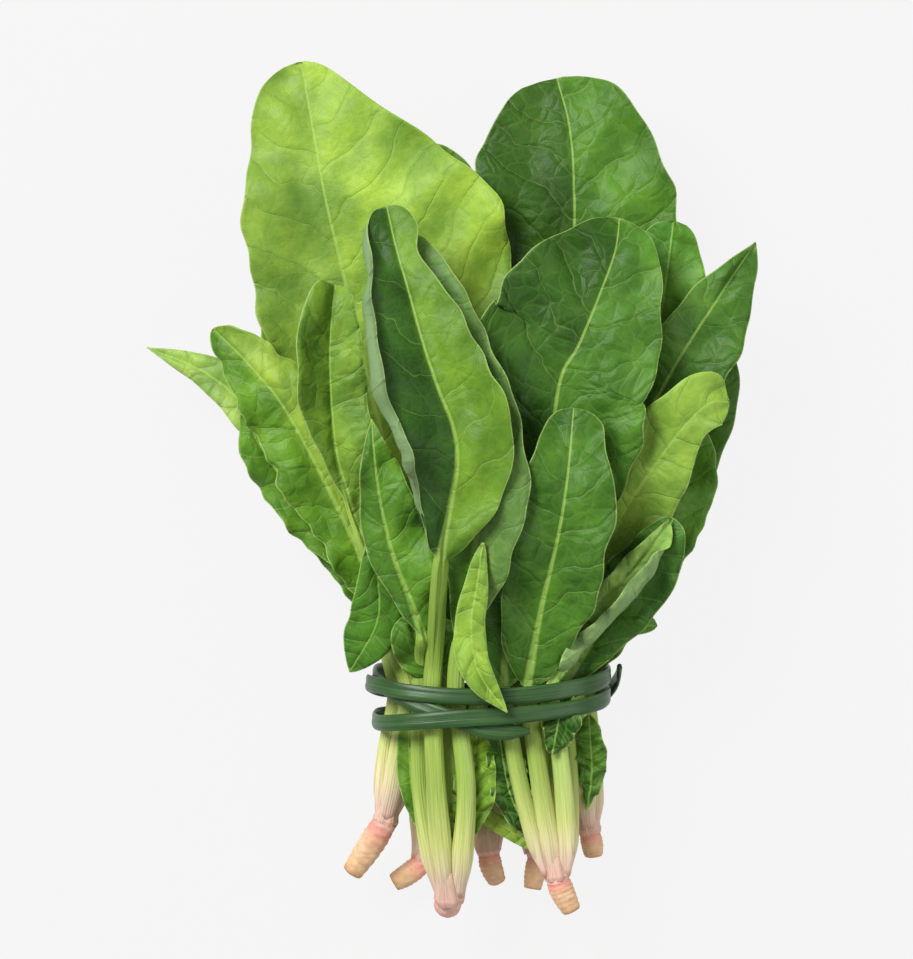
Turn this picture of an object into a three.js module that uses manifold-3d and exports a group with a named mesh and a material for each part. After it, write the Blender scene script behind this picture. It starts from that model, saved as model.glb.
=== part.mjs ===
// A bunch of spinach lying on a table: seven whole plants with their roots on, tied at the stems
// with one long flat grass blade. Millimetres, +Z up from the table, roots towards -Y, leaves
// towards +Y. The origin is on the table, under the middle of the bunch.
//
// Every plant is a crown with leaves growing from it. Every leaf is one thin closed skin, swept along
// its own rib line: a round stalk from the crown through the tie, which flattens into the blade.
// The leaves are laid down one after another, from the table up, and each one is lifted until it
// rests clear on those below, as leaves do in a real bunch.

import * as THREE from 'three';
import Module from 'manifold-3d';

const wasm = await Module();
wasm.setup();

// The bunch, from which the places below are taken.
const TIE = { x: 14, y: -69, z: 27 }; // middle of the stalks where the grass blade holds them
const TIE_HALF_WIDTH = 38.5;
const TIE_HALF_DEPTH = 24.5;
const TIE_SQUARE = 2.5; // 2 would be an ellipse; more is squarer
const CLEAR_OF_TIE = -55; // stalks stay level until they are past the grass blade
const SLOT_ROW = 6.2; // height from one layer of stalks in the tie to the next

// A leaf.
const BLADE_THICK = 0.8;
const BLADE_STATIONS = { fewest: 6, most: 10, every: 15 }; // across the blade, more on a longer one
const ACROSS = [-1, -0.6, -0.12, 0, 0.12, 0.6, 1]; // where a blade is measured, from margin to margin
const STALK = { sheath: 5.2, middle: 3.4, neck: 2.6, tip: 0.7 }; // half widths along the rib line
const STALK_DEPTH = { sheath: 2.4, middle: 2.6, neck: 2.1, tip: 0.5 }; // half depths

// The pile.
const CLEARANCE = 1.0; // between one leaf and the next
const PILE_CELL = 1.0;
const PRESSED_FLAT = 0.15; // off the lowest skin, where it lies on the table

// The crowns: where each plant's stalks meet, how thick it is there, and where its root points.
const PLANTS = {
  1: { crown: [-20, -105, 24], thick: 7.5,
     root: [[-22, -113, 23], [-27, -121, 20], [-33, -130, 17]], rootRadius: [5.2, 3.6] },
  2: { crown: [-1, -129, 37], thick: 9,
     root: [[0, -138.5, 32.5], [-0.5, -140.6, 28], [-2.5, -140.6, 21.5]], rootRadius: [4.6, 3.2] },
  3: { crown: [12, -116, 23], thick: 7,
     root: [[13, -123, 22], [14, -128, 21], [16, -133, 19]], rootRadius: [4.4, 3.0] },
  4: { crown: [35, -123, 36], thick: 7.5,
     root: [[36, -131, 35], [38, -136, 34], [41, -142, 33]], rootRadius: [4.8, 3.2] },
  5: { crown: [46, -108, 24], thick: 7,
     root: [[47, -116, 23], [48, -120, 22], [48.5, -124, 21]], rootRadius: [4.2, 3.2] },
  6: { crown: [-5, -120, 10], thick: 7,
     root: [[-9, -127, 9], [-14, -131, 8.5], [-19, -134, 8]], rootRadius: [4.4, 3.2] },
  7: { crown: [30, -118, 10], thick: 7,
     root: [[30, -125, 9], [29, -130, 9], [28, -136, 9]], rootRadius: [4.2, 3.0] },
};

// The leaves, from the table up. slot is the place of the stalk in the tie: sideways from its middle,
// and the layer of stalks. rib is the line of the leaf's rib, from the foot of the blade to its tip.
// A pair of values is for the half to the left of the rib and the half to the right. wide is the half
// width, widest is where along the blade that is. tip and foot say how the margin closes there: 0.4 is
// blunt and round, 1 is straight to a point, 2 is hollow. fold turns a half of the blade towards the
// eye and curl bends it on to the margin, at the foot, the middle and the tip, in degrees. crease
// folds a half over at a line: how far out from the rib, how many degrees, and how far up the blade.
// wave is the margin's ripple: height, how many along the blade, and where it starts.
const LEAVES = [
  {
    name: 'under_1', plant: 6, slot: [-16, -3],
    rib: [[-10, -38, 4], [-36, 5, 0], [-50, 38, -1], [-57, 62, 0]], wide: [17, 17], widest: 0.6,
    tip: 0.5, wave: [1.2, 3, 0],
  },
  {
    name: 'under_2', plant: 7, slot: [16, -3],
    rib: [[34, -38, 4], [56, -4, 0], [74, 20, -1], [82, 38, 0]], wide: [17, 16], widest: 0.6, tip: 0.5,
    wave: [1.2, 3, 2],
  },
  {
    name: 'under_3', plant: 6, slot: [-4, -3],
    rib: [[6, -35, 4], [0, 15, 0], [-8, 65, -2], [-16, 108, -1]], wide: [24, 26], widest: 0.6, tip: 0.5,
    wave: [0.8, 3, 4],
  },
  {
    name: 'under_4', plant: 7, slot: [4, -3],
    rib: [[26, -35, 5], [38, 15, 3], [48, 60, 3], [52, 98, 4]], wide: [24, 20], widest: 0.6, tip: 0.45,
    wave: [1.5, 3, 1],
  },
  {
    name: 'leaf_01', plant: 6, slot: [-24, -2],
    rib: [[-12, -50, 11], [-22, -43, 12], [-30, -36, 12], [-35.5, -32.5, 11]], wide: [3.5, 6],
    widest: 0.5, tip: 0.7, wave: [0.5, 2, 0],
  },
  {
    name: 'leaf_02', plant: 1, slot: [-28, -1],
    rib: [[-18, -44, 16], [-30, -30, 18], [-42, -17, 18], [-54, -5, 16]], wide: [6, 9], widest: 0.6,
    tip: 0.6, wave: [1, 4, 1],
  },
  {
    name: 'leaf_03', plant: 6, slot: [-16, -2],
    rib: [[-14, -30, 14], [-38, 15, 17], [-54, 45, 18], [-64, 69, 16]], wide: [9, 14], widest: 0.6,
    tip: 0.6, wave: [1.2, 3, 3],
  },
  {
    name: 'leaf_20', plant: 7, slot: [20, -1],
    rib: [[40, -51, 19], [51, -48, 20], [61, -46.5, 20], [70, -46.5, 18]], wide: [6, 4], widest: 0.6,
    tip: 0.5, wave: [0.4, 2, 0],
  },
  {
    name: 'leaf_04', plant: 7, slot: [24, -2],
    rib: [[44, -38, 12], [66, -8, 16], [80, 15, 18], [88, 35, 18], [92, 50, 17]], wide: [14, 13],
    widest: 0.6, tip: 0.5, wave: [1, 4, 2],
  },
  {
    name: 'leaf_05', plant: 3, slot: [-4, -1],
    rib: [[8, -25, 20], [6, 35, 24], [2, 82, 25], [-5, 116, 25]], wide: [14, 19], widest: 0.6,
    tip: [0.8, 0.55], wave: [1.2, 3, 0],
  },
  {
    name: 'leaf_06', plant: 6, slot: [-12, -1],
    rib: [
      [-12, -25, 20], [-25, 25, 26], [-35.5, 70, 30], [-42, 98, 32], [-46, 120, 31], [-50, 143.3, 28],
    ],
    wide: [31, 58], widest: [0.56, 0.6], tip: [0.52, 1.1], foot: 1.2, curl: [[10, 12, 6], [8, 14, 10]],
    wave: [1.6, 4, 2],
  },
  {
    name: 'leaf_07', plant: 3, slot: [8, -1],
    rib: [[24, -25, 22], [34, 30, 28], [41, 78, 32], [41.5, 104, 33], [40, 122, 31], [36, 138, 27]],
    wide: [35, 36], widest: [0.7, 0.62], tip: [0.3, 0.45], curl: [[8, 14, 14], [8, 6, 16]],
    wave: [0.9, 3, 1],
  },
  {
    name: 'leaf_08', plant: 5, slot: [28, -1],
    rib: [[42, -36, 20], [58, 10, 26], [70, 55, 31], [75, 89.5, 31]], wide: [20, 17], widest: 0.62,
    tip: 0.4, wave: [0.9, 3, 1],
  },
  {
    name: 'leaf_09', plant: 1, slot: [-32, 0],
    rib: [[-24, -38, 24], [-46, 0, 25], [-64, 23, 24], [-82, 38.5, 22], [-102.5, 47.5, 18]],
    wide: [7.5, 8.5], widest: 0.6, tip: 0.9, wave: [0.5, 2, 0],
  },
  {
    name: 'leaf_10', plant: 1, slot: [-24, 0],
    rib: [[-20, -40, 27], [-43, -14, 28], [-57, 4, 28], [-65, 16, 27], [-69.5, 26, 25]], wide: [9, 13],
    widest: 0.6, tip: 0.5, wave: [1.2, 4, 0],
  },
  {
    name: 'leaf_11', plant: 5, slot: [32, 0],
    rib: [[42, -50, 24], [60, -32, 28], [73, -12, 28], [81, 5, 27], [85, 20, 25]], wide: [10, 12],
    widest: 0.55, tip: 0.5, wave: [1.4, 4, 3],
  },
  {
    name: 'leaf_12', plant: 5, slot: [24, 0],
    rib: [[40, -30, 28], [60, 12, 36], [76, 42, 40], [90, 64, 38], [102.5, 82.5, 32]], wide: [12, 18],
    widest: 0.6, tip: [0.9, 0.8], curl: [[0, 6, 6], [10, 14, 10]], wave: [0.9, 3, 0],
  },
  {
    name: 'leaf_13', plant: 1, slot: [-28, 1],
    rib: [[-26, -30, 34], [-40, -2, 38], [-55, 26, 40], [-67, 41, 38], [-79.5, 53.5, 33]],
    wide: [13, 14], widest: 0.52, tip: 0.8, curl: [[10, 18, 8], [0, 8, 4]], wave: [1.8, 4, 1],
  },
  {
    name: 'leaf_16', plant: 5, slot: [28, 1],
    rib: [
      [42, -38, 34], [51, -22, 38], [62, -2, 46], [72, 14, 52], [80, 25, 56], [89, 31, 56], [96, 27, 51],
    ],
    wide: [14, 20], widest: [0.6, 0.38], tip: [0.5, 1.7], foot: 0.8, crease: [null, [0.4, 160, 0.42]],
    wave: [0.7, 2, 0],
  },
  {
    name: 'leaf_14', plant: 4, slot: [24, 2],
    rib: [[40, -53, 39], [54, -42, 38], [66, -28, 38], [74.5, -10, 34]], wide: [11, 11], widest: 0.6,
    tip: 0.5, foot: 0.8, wave: [1.6, 4, 0],
  },
  {
    name: 'leaf_17', plant: 4, slot: [8, 2],
    rib: [
      [30, -42, 44], [32, -8, 50], [36, 33, 57], [43, 48, 58], [50, 65, 57], [55, 79, 54],
      [56.5, 90, 50],
    ],
    wide: [33, 30], widest: [0.65, 0.47], tip: [0.5, 0.5], foot: 1.2, curl: [[8, 16, 16], [8, 12, 14]],
    wave: [0.9, 3, 2],
  },
  {
    name: 'leaf_18', plant: 4, slot: [4, 3],
    rib: [[17, -54, 46], [16.5, -42, 52], [14, -24, 57]], wide: [6, 5], widest: 0.3, tip: 1, foot: 0.5,
    wave: [0.4, 2, 0],
  },
  {
    name: 'leaf_15', plant: 4, slot: [20, 3],
    rib: [[34, -52, 42], [45, -42, 47], [56, -28, 50], [67, -8, 50], [75, 8, 47]], wide: [12, 13],
    widest: [0.55, 0.5], tip: 0.8, foot: 0.6, crease: [null, [0.5, 150, 0.8]], wave: [1.5, 5, 1],
  },
  {
    name: 'leaf_19', plant: 4, slot: [12, 3],
    rib: [[28, -50, 47], [31, -36, 56], [36, -15, 65], [39, 5, 68], [41, 26.5, 64]], wide: [15, 17],
    widest: 0.5, tip: 0.4, foot: 0.8, curl: [[10, 20, 20], [10, 20, 20]], wave: [0.5, 3, 0],
  },
  {
    name: 'leaf_21', plant: 2, slot: [-20, 1],
    rib: [
      [-30, -15, 46], [-35, 0, 50], [-38, 12, 53], [-39.5, 28, 56], [-40, 45, 59], [-39, 60, 61],
      [-38, 67.5, 58],
    ],
    wide: [14, 13], widest: [0.72, 0.45], tip: 0.35, foot: [2, 0.7], fold: [[20, 50, 45], [10, 20, 20]],
    wave: [0.5, 2, 0],
    lobe: {
      rib: [[-26, -12, 47], [-24, -30, 47], [-24.5, -45, 46], [-33.5, -61.5, 42]], wide: [8, 9.5],
      widest: [0.65, 0.72], tip: [0.6, 0.9], foot: 0.8,
    },
  },
  {
    name: 'leaf_22', plant: 2, slot: [-16, 2],
    rib: [[-7.5, -54, 41], [-10.5, -50, 44], [-12, -45, 46]], wide: [6, 4], widest: 0.4, tip: 0.7,
    foot: 0.5, wave: [0.5, 2, 0],
  },
  {
    name: 'leaf_23', plant: 2, slot: [-24, 2],
    rib: [[-9, -50, 43], [-13, -38, 49], [-19, -22, 54], [-23, -5, 57], [-25, 10, 58], [-26, 23, 56]],
    wide: [6, 10], widest: [0.5, 0.42], tip: 0.9, wave: [0.8, 3, 0],
  },
  {
    name: 'leaf_24', plant: 2, slot: [-12, 3],
    rib: [
      [3, -38, 52], [7, -22, 59], [10, -5, 63], [10, 10, 65], [6, 28, 66], [-1, 50, 64], [-7, 68, 61],
      [-12, 84, 57],
    ],
    wide: [11, 16], widest: 0.42, tip: 0.5, foot: 1, curl: [[0, 10, 10], [10, 24, 10]],
    wave: [0.7, 3, 1],
    lobe: {
      rib: [[9, -30, 60], [4, -46, 60], [6, -62, 60], [19, -74.5, 59]], wide: [5.5, 7], widest: 0.55,
      tip: 0.8, foot: 0.8,
    },
  },
  {
    name: 'leaf_25', plant: 2, slot: [-20, 3],
    rib: [
      [-3, -24, 60], [0, -6, 65], [2.3, 8, 69], [1, 20, 71], [-4, 33, 72], [-9, 48, 72], [-14, 66, 70],
      [-18, 80, 67], [-21, 93.5, 62],
    ],
    wide: [28, 20], widest: [0.45, 0.4], tip: [0.75, 1.15], foot: [0.8, 0.6],
    fold: [[25, 32, 30], [0, 0, 0]], curl: [null, [10, 20, 20]], crease: [[0.86, 80, 0.9], null],
    wave: [1, 4, 0],
  },
];

// Young leaves that grow from a crown and end below the tie, or come out under it.
const YOUNG = [
  {
    name: 'young_1', plant: 2,
    rib: [[2, -120, 40], [6, -104, 44], [7, -86, 45]], wide: [5.5, 6], widest: 0.6, tip: 0.5, foot: 0.8,
    curl: [null, [0, 40, 30]], wave: [0.8, 3, 0],
  },
  {
    name: 'young_2', plant: 4,
    rib: [[29, -119, 36], [20, -103, 40], [17, -85, 41]], wide: [6, 7], widest: 0.6, tip: 0.5,
    foot: 0.8, curl: [[0, 40, 30], null], wave: [1, 3, 2],
  },
  {
    name: 'young_3', plant: 4,
    rib: [[32, -122, 33], [20, -115, 33], [10, -108, 33.5], [5, -99, 34]], wide: [3, 3], widest: 0.5,
    tip: 0.5, foot: 0.3, wave: [0, 1, 0],
  },
  {
    name: 'young_4', plant: 4,
    rib: [[37, -68, 43.5], [37.5, -78, 44.5], [38, -88.5, 44]], wide: [5.5, 5], widest: 0.7, tip: 0.3,
    foot: 0.6, wave: [0.5, 2, 0],
  },
  {
    name: 'young_5', plant: 5,
    rib: [[46, -108, 31], [47.5, -97, 36.5], [46.5, -87, 38]], wide: [4.5, 4], widest: 0.6, tip: 0.6,
    foot: 0.8, wave: [0.8, 3, 0],
  },
];

// The grass blade round the stalks: flat, wound three times, with one tucked end standing out.
const GRASS = { halfWide: 3.2, thick: 1.8, layer: 2.3, stations: 68 };
// Each row: degrees round the bundle from +X over the top, how far along the bunch from the middle of
// the tie, and how many layers of grass it lies on.
const GRASS_TURNS = [
  [34, -8, 0], [58, -11, 0], [78, -12.5, 0], [98, -8.5, 0], [122, -2, 0], [148, 3.5, 0], [178, 6.5, 0],
  [225, 7.5, 0.1], [270, 8, 0.3], [315, 8.5, 0.1], [360, 10, 0], [400, 9.5, 0], [450, 8, 0],
  [490, 6.5, 0.6], [515, 5.5, 1], [540, 3, 1], [570, 0.5, 0.8], [600, 0, 0.2], [630, 0.2, 0.3],
  [675, 0.5, 0], [720, 2, 0], [745, 2, 0], [765, 0, 0.7], [785, -2.5, 1], [810, -4.5, 1],
  [838, -6.5, 1], [865, -8, 0.8], [885, -8.5, 0.2], [915, -8, 0], [990, -7.5, 0.3],
  [1035, -6.5, 0], [1056, -4, 0.4], [1068, 1, 1.1], [1078, 6, 1.9], [1090, 11, 2.3], [1098, 14.5, 3.4],
];

const radians = THREE.MathUtils.degToRad;
const mix = (a, b, t) => a + (b - a) * Math.min(1, Math.max(0, t));

// From 0 to 1 without a corner at either end.
function ease(u) {
  const v = Math.min(1, Math.max(0, u));
  return v * v * (3 - 2 * v);
}

// Eased value between three stations: the foot, the middle and the tip.
function along(values, t) {
  const [a, b, c] = values ?? [0, 0, 0];
  return t < 0.5 ? a + (b - a) * ease(t * 2) : b + (c - b) * ease(t * 2 - 1);
}

// The rib line as many short steps, with its length and a frame that doesn't twist at each step.
function ribLine(points, bladeFrom) {
  const steps = 40 * (points.length - 1);
  const knots = points.map((p) => new THREE.Vector3(...p));
  const curve = new THREE.CatmullRomCurve3(knots, false, 'catmullrom', 0.5);
  const at = [];
  for (let i = 0; i <= steps; i++) at.push(curve.getPoint(i / steps));
  const length = [0];
  for (let i = 1; i <= steps; i++) length.push(length[i - 1] + at[i].distanceTo(at[i - 1]));
  const onward = (i) => at[Math.min(steps, i + 1)].clone().sub(at[Math.max(0, i - 1)]).normalize();
  const tangent = at.map((p, i) => onward(i));
  const start = bladeFrom * 40;
  const side = [];
  side[start] = tangent[start].clone().cross(new THREE.Vector3(0, 0, 1)).normalize();
  const carry = (from, to) => {
    const off = -side[from].dot(tangent[to]);
    return side[from].clone().addScaledVector(tangent[to], off).normalize();
  };
  for (let i = start + 1; i <= steps; i++) side[i] = carry(i - 1, i);
  for (let i = start - 1; i >= 0; i--) side[i] = carry(i + 1, i);
  const sample = (list, s) => {
    let i = length.findIndex((l) => l > s);
    if (i < 0) i = steps;
    i = Math.max(1, i);
    const f = (s - length[i - 1]) / (length[i] - length[i - 1]);
    return list[i - 1].clone().lerp(list[i], Math.min(1, Math.max(0, f)));
  };
  return {
    total: length[steps],
    bladeStart: length[start],
    reach: (point) => length[point * 40], // how far along the line a given point is
    place: (s) => sample(at, s),
    tangent: (s) => sample(tangent, s).normalize(),
    side: (s) => sample(side, s).normalize(),
  };
}

// Half width of a blade: 0 at the foot and the tip, 1 where it is widest.
function outline(t, widest, foot, tip) {
  if (t <= 0 || t >= 1) return 0;
  if (t < widest) return Math.pow(Math.sin((Math.PI / 2) * (t / widest)), foot);
  return Math.pow(Math.cos((Math.PI / 2) * ((t - widest) / (1 - widest))), tip);
}

// The stations along a leaf: up the stalk, before and after the tie, then closer together at the foot
// and the tip of the blade.
function stations(line, slotAt) {
  const list = [];
  if (slotAt > 0) {
    const slot = line.reach(slotAt);
    list.push(0, slot * 0.3, slot * 0.62, slot - 8, slot + 9);
    if (line.bladeStart - slot > 26) list.push((slot + 9 + line.bladeStart) / 2);
  }
  const { fewest, most, every } = BLADE_STATIONS;
  const count = Math.min(most, Math.max(fewest, Math.round((line.total - line.bladeStart) / every) + 3));
  for (let i = 0; i < count; i++) {
    const t = (1 - Math.cos((Math.PI * i) / (count - 1))) / 2;
    const s = line.bladeStart + (line.total - line.bladeStart) * t;
    if (list.length === 0 || s > list[list.length - 1] + 1.5) list.push(s);
  }
  return list;
}

// One leaf as rows of points: each row crosses the leaf once above and once below. The first ones,
// as far as the tie, are fixed.
function leafRows(leaf, points, bladeFrom, slotAt) {
  const line = ribLine(points, bladeFrom);
  const list = stations(line, slotAt);
  const hasStalk = slotAt > 0;
  const rows = list.map((s) => {
    const t = Math.max(0, (s - line.bladeStart) / (line.total - line.bladeStart));
    const inBlade = s >= line.bladeStart;
    const up = s / Math.max(1, line.bladeStart);
    const size = (half) => {
      if (inBlade) return mix(hasStalk ? half.neck : half.tip * 1.6, half.tip, Math.sqrt(t));
      if (up < 0.35) return mix(half.sheath, half.middle, up / 0.35);
      return mix(half.middle, half.neck, (up - 0.35) / 0.65);
    };
    const ribHalf = size(STALK);
    const ribDepth = size(STALK_DEPTH);
    const tangent = line.tangent(s);
    const side = line.side(s);
    const normal = side.clone().cross(tangent);
    const centre = line.place(s);
    const row = { top: [], bottom: [] };
    for (const q of ACROSS) {
      const hand = q < 0 ? 0 : 1;
      const sign = q < 0 ? -1 : 1;
      const pick = (pair, usual) => (Array.isArray(pair) ? pair[hand] : pair) ?? usual;
      const shape = inBlade ? outline(t, pick(leaf.widest), pick(leaf.foot, 1.3), pick(leaf.tip)) : 0;
      const half = Math.max(ribHalf, leaf.wide[hand] * shape);
      const fold = along(pick(leaf.fold), t);
      const curl = along(pick(leaf.curl), t);
      const [creaseAt, creaseAngle, creaseTo] = pick(leaf.crease, [1, 0, 1]);
      const crease = creaseAngle * (1 - ease((t - creaseTo) / 0.16));
      const flat = Math.min(1, shape * 2);
      let out = 0;
      let rise = 0;
      let angle = 0;
      const pieces = 16;
      for (let k = 0; k < pieces; k++) {
        const here = ((k + 0.5) / pieces) * Math.abs(q);
        angle = radians((fold + curl * here + crease * ease((here - creaseAt + 0.12) / 0.24)) * flat);
        out += (Math.cos(angle) * half * Math.abs(q)) / pieces;
        rise += (Math.sin(angle) * half * Math.abs(q)) / pieces;
      }
      const [height, count, phase] = leaf.wave ?? [0, 1, 0];
      const ripple = height * flat * q * q * Math.sin(2 * Math.PI * count * t + phase + hand * 2);
      const skin = normal.clone().multiplyScalar(Math.cos(angle));
      skin.addScaledVector(side, -sign * Math.sin(angle));
      const across = Math.abs(q) * half;
      const round = Math.sqrt(Math.max(0, 1 - (across / ribHalf) ** 2));
      const thick = BLADE_THICK / 2;
      const sunk = inBlade ? Math.min(1, t * 8) : 0; // the rib stands out below the blade, not above
      const above = thick + Math.max(0, ribDepth * round - thick) * (1 - sunk);
      const below = thick + Math.max(0, ribDepth * round - thick) * (1 + sunk * 0.4);
      const p = centre.clone().addScaledVector(side, sign * out).addScaledVector(normal, rise + ripple);
      row.top.push(p.clone().addScaledVector(skin, above));
      row.bottom.push(p.clone().addScaledVector(skin, -below));
    }
    return row;
  });
  return { rows, fixed: list.filter((s) => line.place(s).y < CLEAR_OF_TIE + 0.5 && hasStalk).length };
}

// The pile: how high what has been laid down reaches, in small square cells over the table.
const pile = new Map();
const cellKey = (x, y) => Math.round(x / PILE_CELL) * 4096 + Math.round(y / PILE_CELL);

// Calls visit with each of many points spread over the cells of a sheet of rows.
function overSheet(rows, face, visit) {
  const point = new THREE.Vector3();
  for (let i = 0; i + 1 < rows.length; i++) {
    for (let j = 0; j + 1 < ACROSS.length; j++) {
      const [a, b] = rows[i][face].slice(j, j + 2);
      const [c, d] = rows[i + 1][face].slice(j, j + 2);
      const long = Math.max(2, Math.ceil(a.distanceTo(c) / 0.9), Math.ceil(b.distanceTo(d) / 0.9));
      const wide = Math.max(2, Math.ceil(a.distanceTo(b) / 0.9), Math.ceil(c.distanceTo(d) / 0.9));
      for (let u = 0; u <= long; u++) {
        for (let v = 0; v <= wide; v++) {
          const [f, g] = [u / long, v / wide];
          point.set(0, 0, 0).addScaledVector(a, (1 - f) * (1 - g)).addScaledVector(b, (1 - f) * g);
          point.addScaledVector(c, f * (1 - g)).addScaledVector(d, f * g);
          visit(point, i, j);
        }
      }
    }
  }
}

function pileHeight(x, y) {
  let high = 0;
  for (const dx of [-PILE_CELL, 0, PILE_CELL]) {
    for (const dy of [-PILE_CELL, 0, PILE_CELL]) {
      high = Math.max(high, pile.get(cellKey(x + dx, y + dy)) ?? 0);
    }
  }
  return high;
}

// Lifts a leaf's rows until they are clear of the pile. The lift spreads smoothly over the leaf.
function layDown({ rows, fixed }) {
  const lift = rows.map(() => ACROSS.map(() => 0));
  const need = rows.map(() => ACROSS.map(() => 0));
  overSheet(rows, 'bottom', (p, i, j) => {
    const below = p.y < CLEAR_OF_TIE ? 0 : pileHeight(p.x, p.y);
    const short = (below > 0 ? below + CLEARANCE : 0) - p.z;
    if (short <= 0) return;
    for (const [di, dj] of [[0, 0], [0, 1], [1, 0], [1, 1]]) {
      need[i + di][j + dj] = Math.max(need[i + di][j + dj], short);
    }
  });
  for (let round = 0; round < 120; round++) {
    for (let i = fixed; i < rows.length; i++) {
      for (let j = 0; j < ACROSS.length; j++) {
        let sum = 0;
        let count = 0;
        for (const [di, dj] of [[-1, 0], [1, 0], [0, -1], [0, 1]]) {
          const near = lift[i + di]?.[j + dj];
          if (near === undefined) continue;
          sum += near;
          count += 1;
        }
        lift[i][j] = Math.max(need[i][j], (sum / count) * 0.985);
      }
    }
  }
  rows.forEach((row, i) => {
    row.top.forEach((p, j) => (p.z += lift[i][j]));
    row.bottom.forEach((p, j) => (p.z += lift[i][j]));
  });
  return Math.max(...lift.flat());
}

function addToPile({ rows }) {
  overSheet(rows, 'top', (p) => {
    const key = cellKey(p.x, p.y);
    pile.set(key, Math.max(pile.get(key) ?? 0, p.z));
  });
}

function solidFrom(points, faces) {
  const vertProperties = new Float32Array(points.flatMap((p) => [p.x, p.y, p.z]));
  const build = (list) => {
    const mesh = new wasm.Mesh({ numProp: 3, vertProperties, triVerts: new Uint32Array(list.flat()) });
    return new wasm.Manifold(mesh);
  };
  const solid = build(faces);
  return solid.volume() < 0 ? build(faces.map(([a, b, c]) => [a, c, b])) : solid;
}

// A closed skin round rings of points, as a solid.
function skinSolid(rings) {
  const count = rings[0].length;
  const faces = [];
  for (let i = 0; i + 1 < rings.length; i++) {
    for (let j = 0; j < count; j++) {
      const [a, b] = [i * count + j, i * count + ((j + 1) % count)];
      faces.push([a, b, b + count], [a, b + count, a + count]);
    }
  }
  const last = (rings.length - 1) * count;
  for (let j = 1; j + 1 < count; j++) {
    faces.push([0, j + 1, j], [last, last + j, last + j + 1]);
  }
  return solidFrom(rings.flat(), faces);
}

// A leaf's rows as a solid: two faces split alike, two margins and two ends.
function leafSolid({ rows }) {
  const wide = ACROSS.length;
  const points = rows.flatMap((row) => [...row.top, ...row.bottom]);
  const faces = [];
  const top = (i, j) => i * 2 * wide + j;
  const low = (i, j) => i * 2 * wide + wide + j;
  const edge = wide - 1;
  for (let i = 0; i + 1 < rows.length; i++) {
    for (let j = 0; j + 1 < wide; j++) {
      faces.push([top(i, j), top(i, j + 1), top(i + 1, j + 1)]);
      faces.push([top(i, j), top(i + 1, j + 1), top(i + 1, j)]);
      faces.push([low(i, j), low(i + 1, j + 1), low(i, j + 1)]);
      faces.push([low(i, j), low(i + 1, j), low(i + 1, j + 1)]);
    }
    faces.push([top(i, 0), top(i + 1, 0), low(i + 1, 0)], [top(i, 0), low(i + 1, 0), low(i, 0)]);
    faces.push([top(i, edge), low(i + 1, edge), top(i + 1, edge)]);
    faces.push([top(i, edge), low(i, edge), low(i + 1, edge)]);
  }
  const last = rows.length - 1;
  for (let j = 0; j + 1 < wide; j++) {
    faces.push([top(0, j), low(0, j + 1), top(0, j + 1)], [top(0, j), low(0, j), low(0, j + 1)]);
    faces.push([top(last, j), top(last, j + 1), low(last, j + 1)]);
    faces.push([top(last, j), low(last, j + 1), low(last, j)]);
  }
  return solidFrom(points, faces);
}

function plantMiddle(plant) {
  const own = LEAVES.filter((leaf) => leaf.plant === plant);
  const mean = (axis) => own.reduce((sum, leaf) => sum + leaf.slot[axis], 0) / own.length;
  return new THREE.Vector3(TIE.x + mean(0), TIE.y, TIE.z + mean(1) * SLOT_ROW);
}

// The line of a leaf's stalk, from inside the crown through its place in the tie.
function stalkPoints(leaf) {
  const crown = new THREE.Vector3(...PLANTS[leaf.plant].crown);
  const slot = new THREE.Vector3(TIE.x + leaf.slot[0], TIE.y, TIE.z + leaf.slot[1] * SLOT_ROW);
  const away = slot.clone().sub(plantMiddle(leaf.plant)).setY(0);
  const reach = Math.min(1, away.length() / 8);
  if (away.length() > 0) away.normalize();
  const foot = crown.clone().addScaledVector(away, PLANTS[leaf.plant].thick * 0.5 * reach);
  const belly = crown.clone().lerp(slot, 0.45).addScaledVector(away, 2.8 * reach);
  const points = [foot, belly, slot];
  const blade = new THREE.Vector3(...leaf.rib[0]);
  if (blade.y > CLEAR_OF_TIE + 4) {
    const exit = slot.clone().lerp(blade, (CLEAR_OF_TIE - slot.y) / (blade.y - slot.y));
    exit.z = mix(slot.z, exit.z, 0.15);
    points.push(exit);
  }
  return points.map((p) => p.toArray());
}

// All leaves, laid down in order.
const laid = LEAVES.map((leaf) => {
  const stalk = stalkPoints(leaf);
  const sheets = [leafRows(leaf, [...stalk, ...leaf.rib], stalk.length, 2)];
  if (leaf.lobe) sheets.push(leafRows(leaf.lobe, leaf.lobe.rib, 0, 0));
  const lifts = sheets.map(layDown);
  sheets.forEach(addToPile);
  return { leaf, sheets, lifts };
}).concat(YOUNG.map((leaf) => ({ leaf, sheets: [leafRows(leaf, leaf.rib, 0, 0)], lifts: [0] })));

// A round body along a line of points, with a radius at each. Its first end is square to facing.
function taper(points, radii, sides, facing) {
  const at = points.map((p) => new THREE.Vector3(...p));
  const rings = at.map((p, i) => {
    const onward = at[Math.min(at.length - 1, i + 1)].clone().sub(at[Math.max(0, i - 1)]).normalize();
    const tangent = i === 0 && facing ? facing : onward;
    const side = tangent.clone().cross(new THREE.Vector3(0, 0, 1)).normalize();
    const up = side.clone().cross(tangent);
    const ring = [];
    for (let k = 0; k < sides; k++) {
      const a = (2 * Math.PI * k) / sides;
      const out = side.clone().multiplyScalar(Math.cos(a)).addScaledVector(up, Math.sin(a));
      ring.push(p.clone().addScaledVector(out, radii[i]));
    }
    return ring;
  });
  return skinSolid(rings);
}

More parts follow.
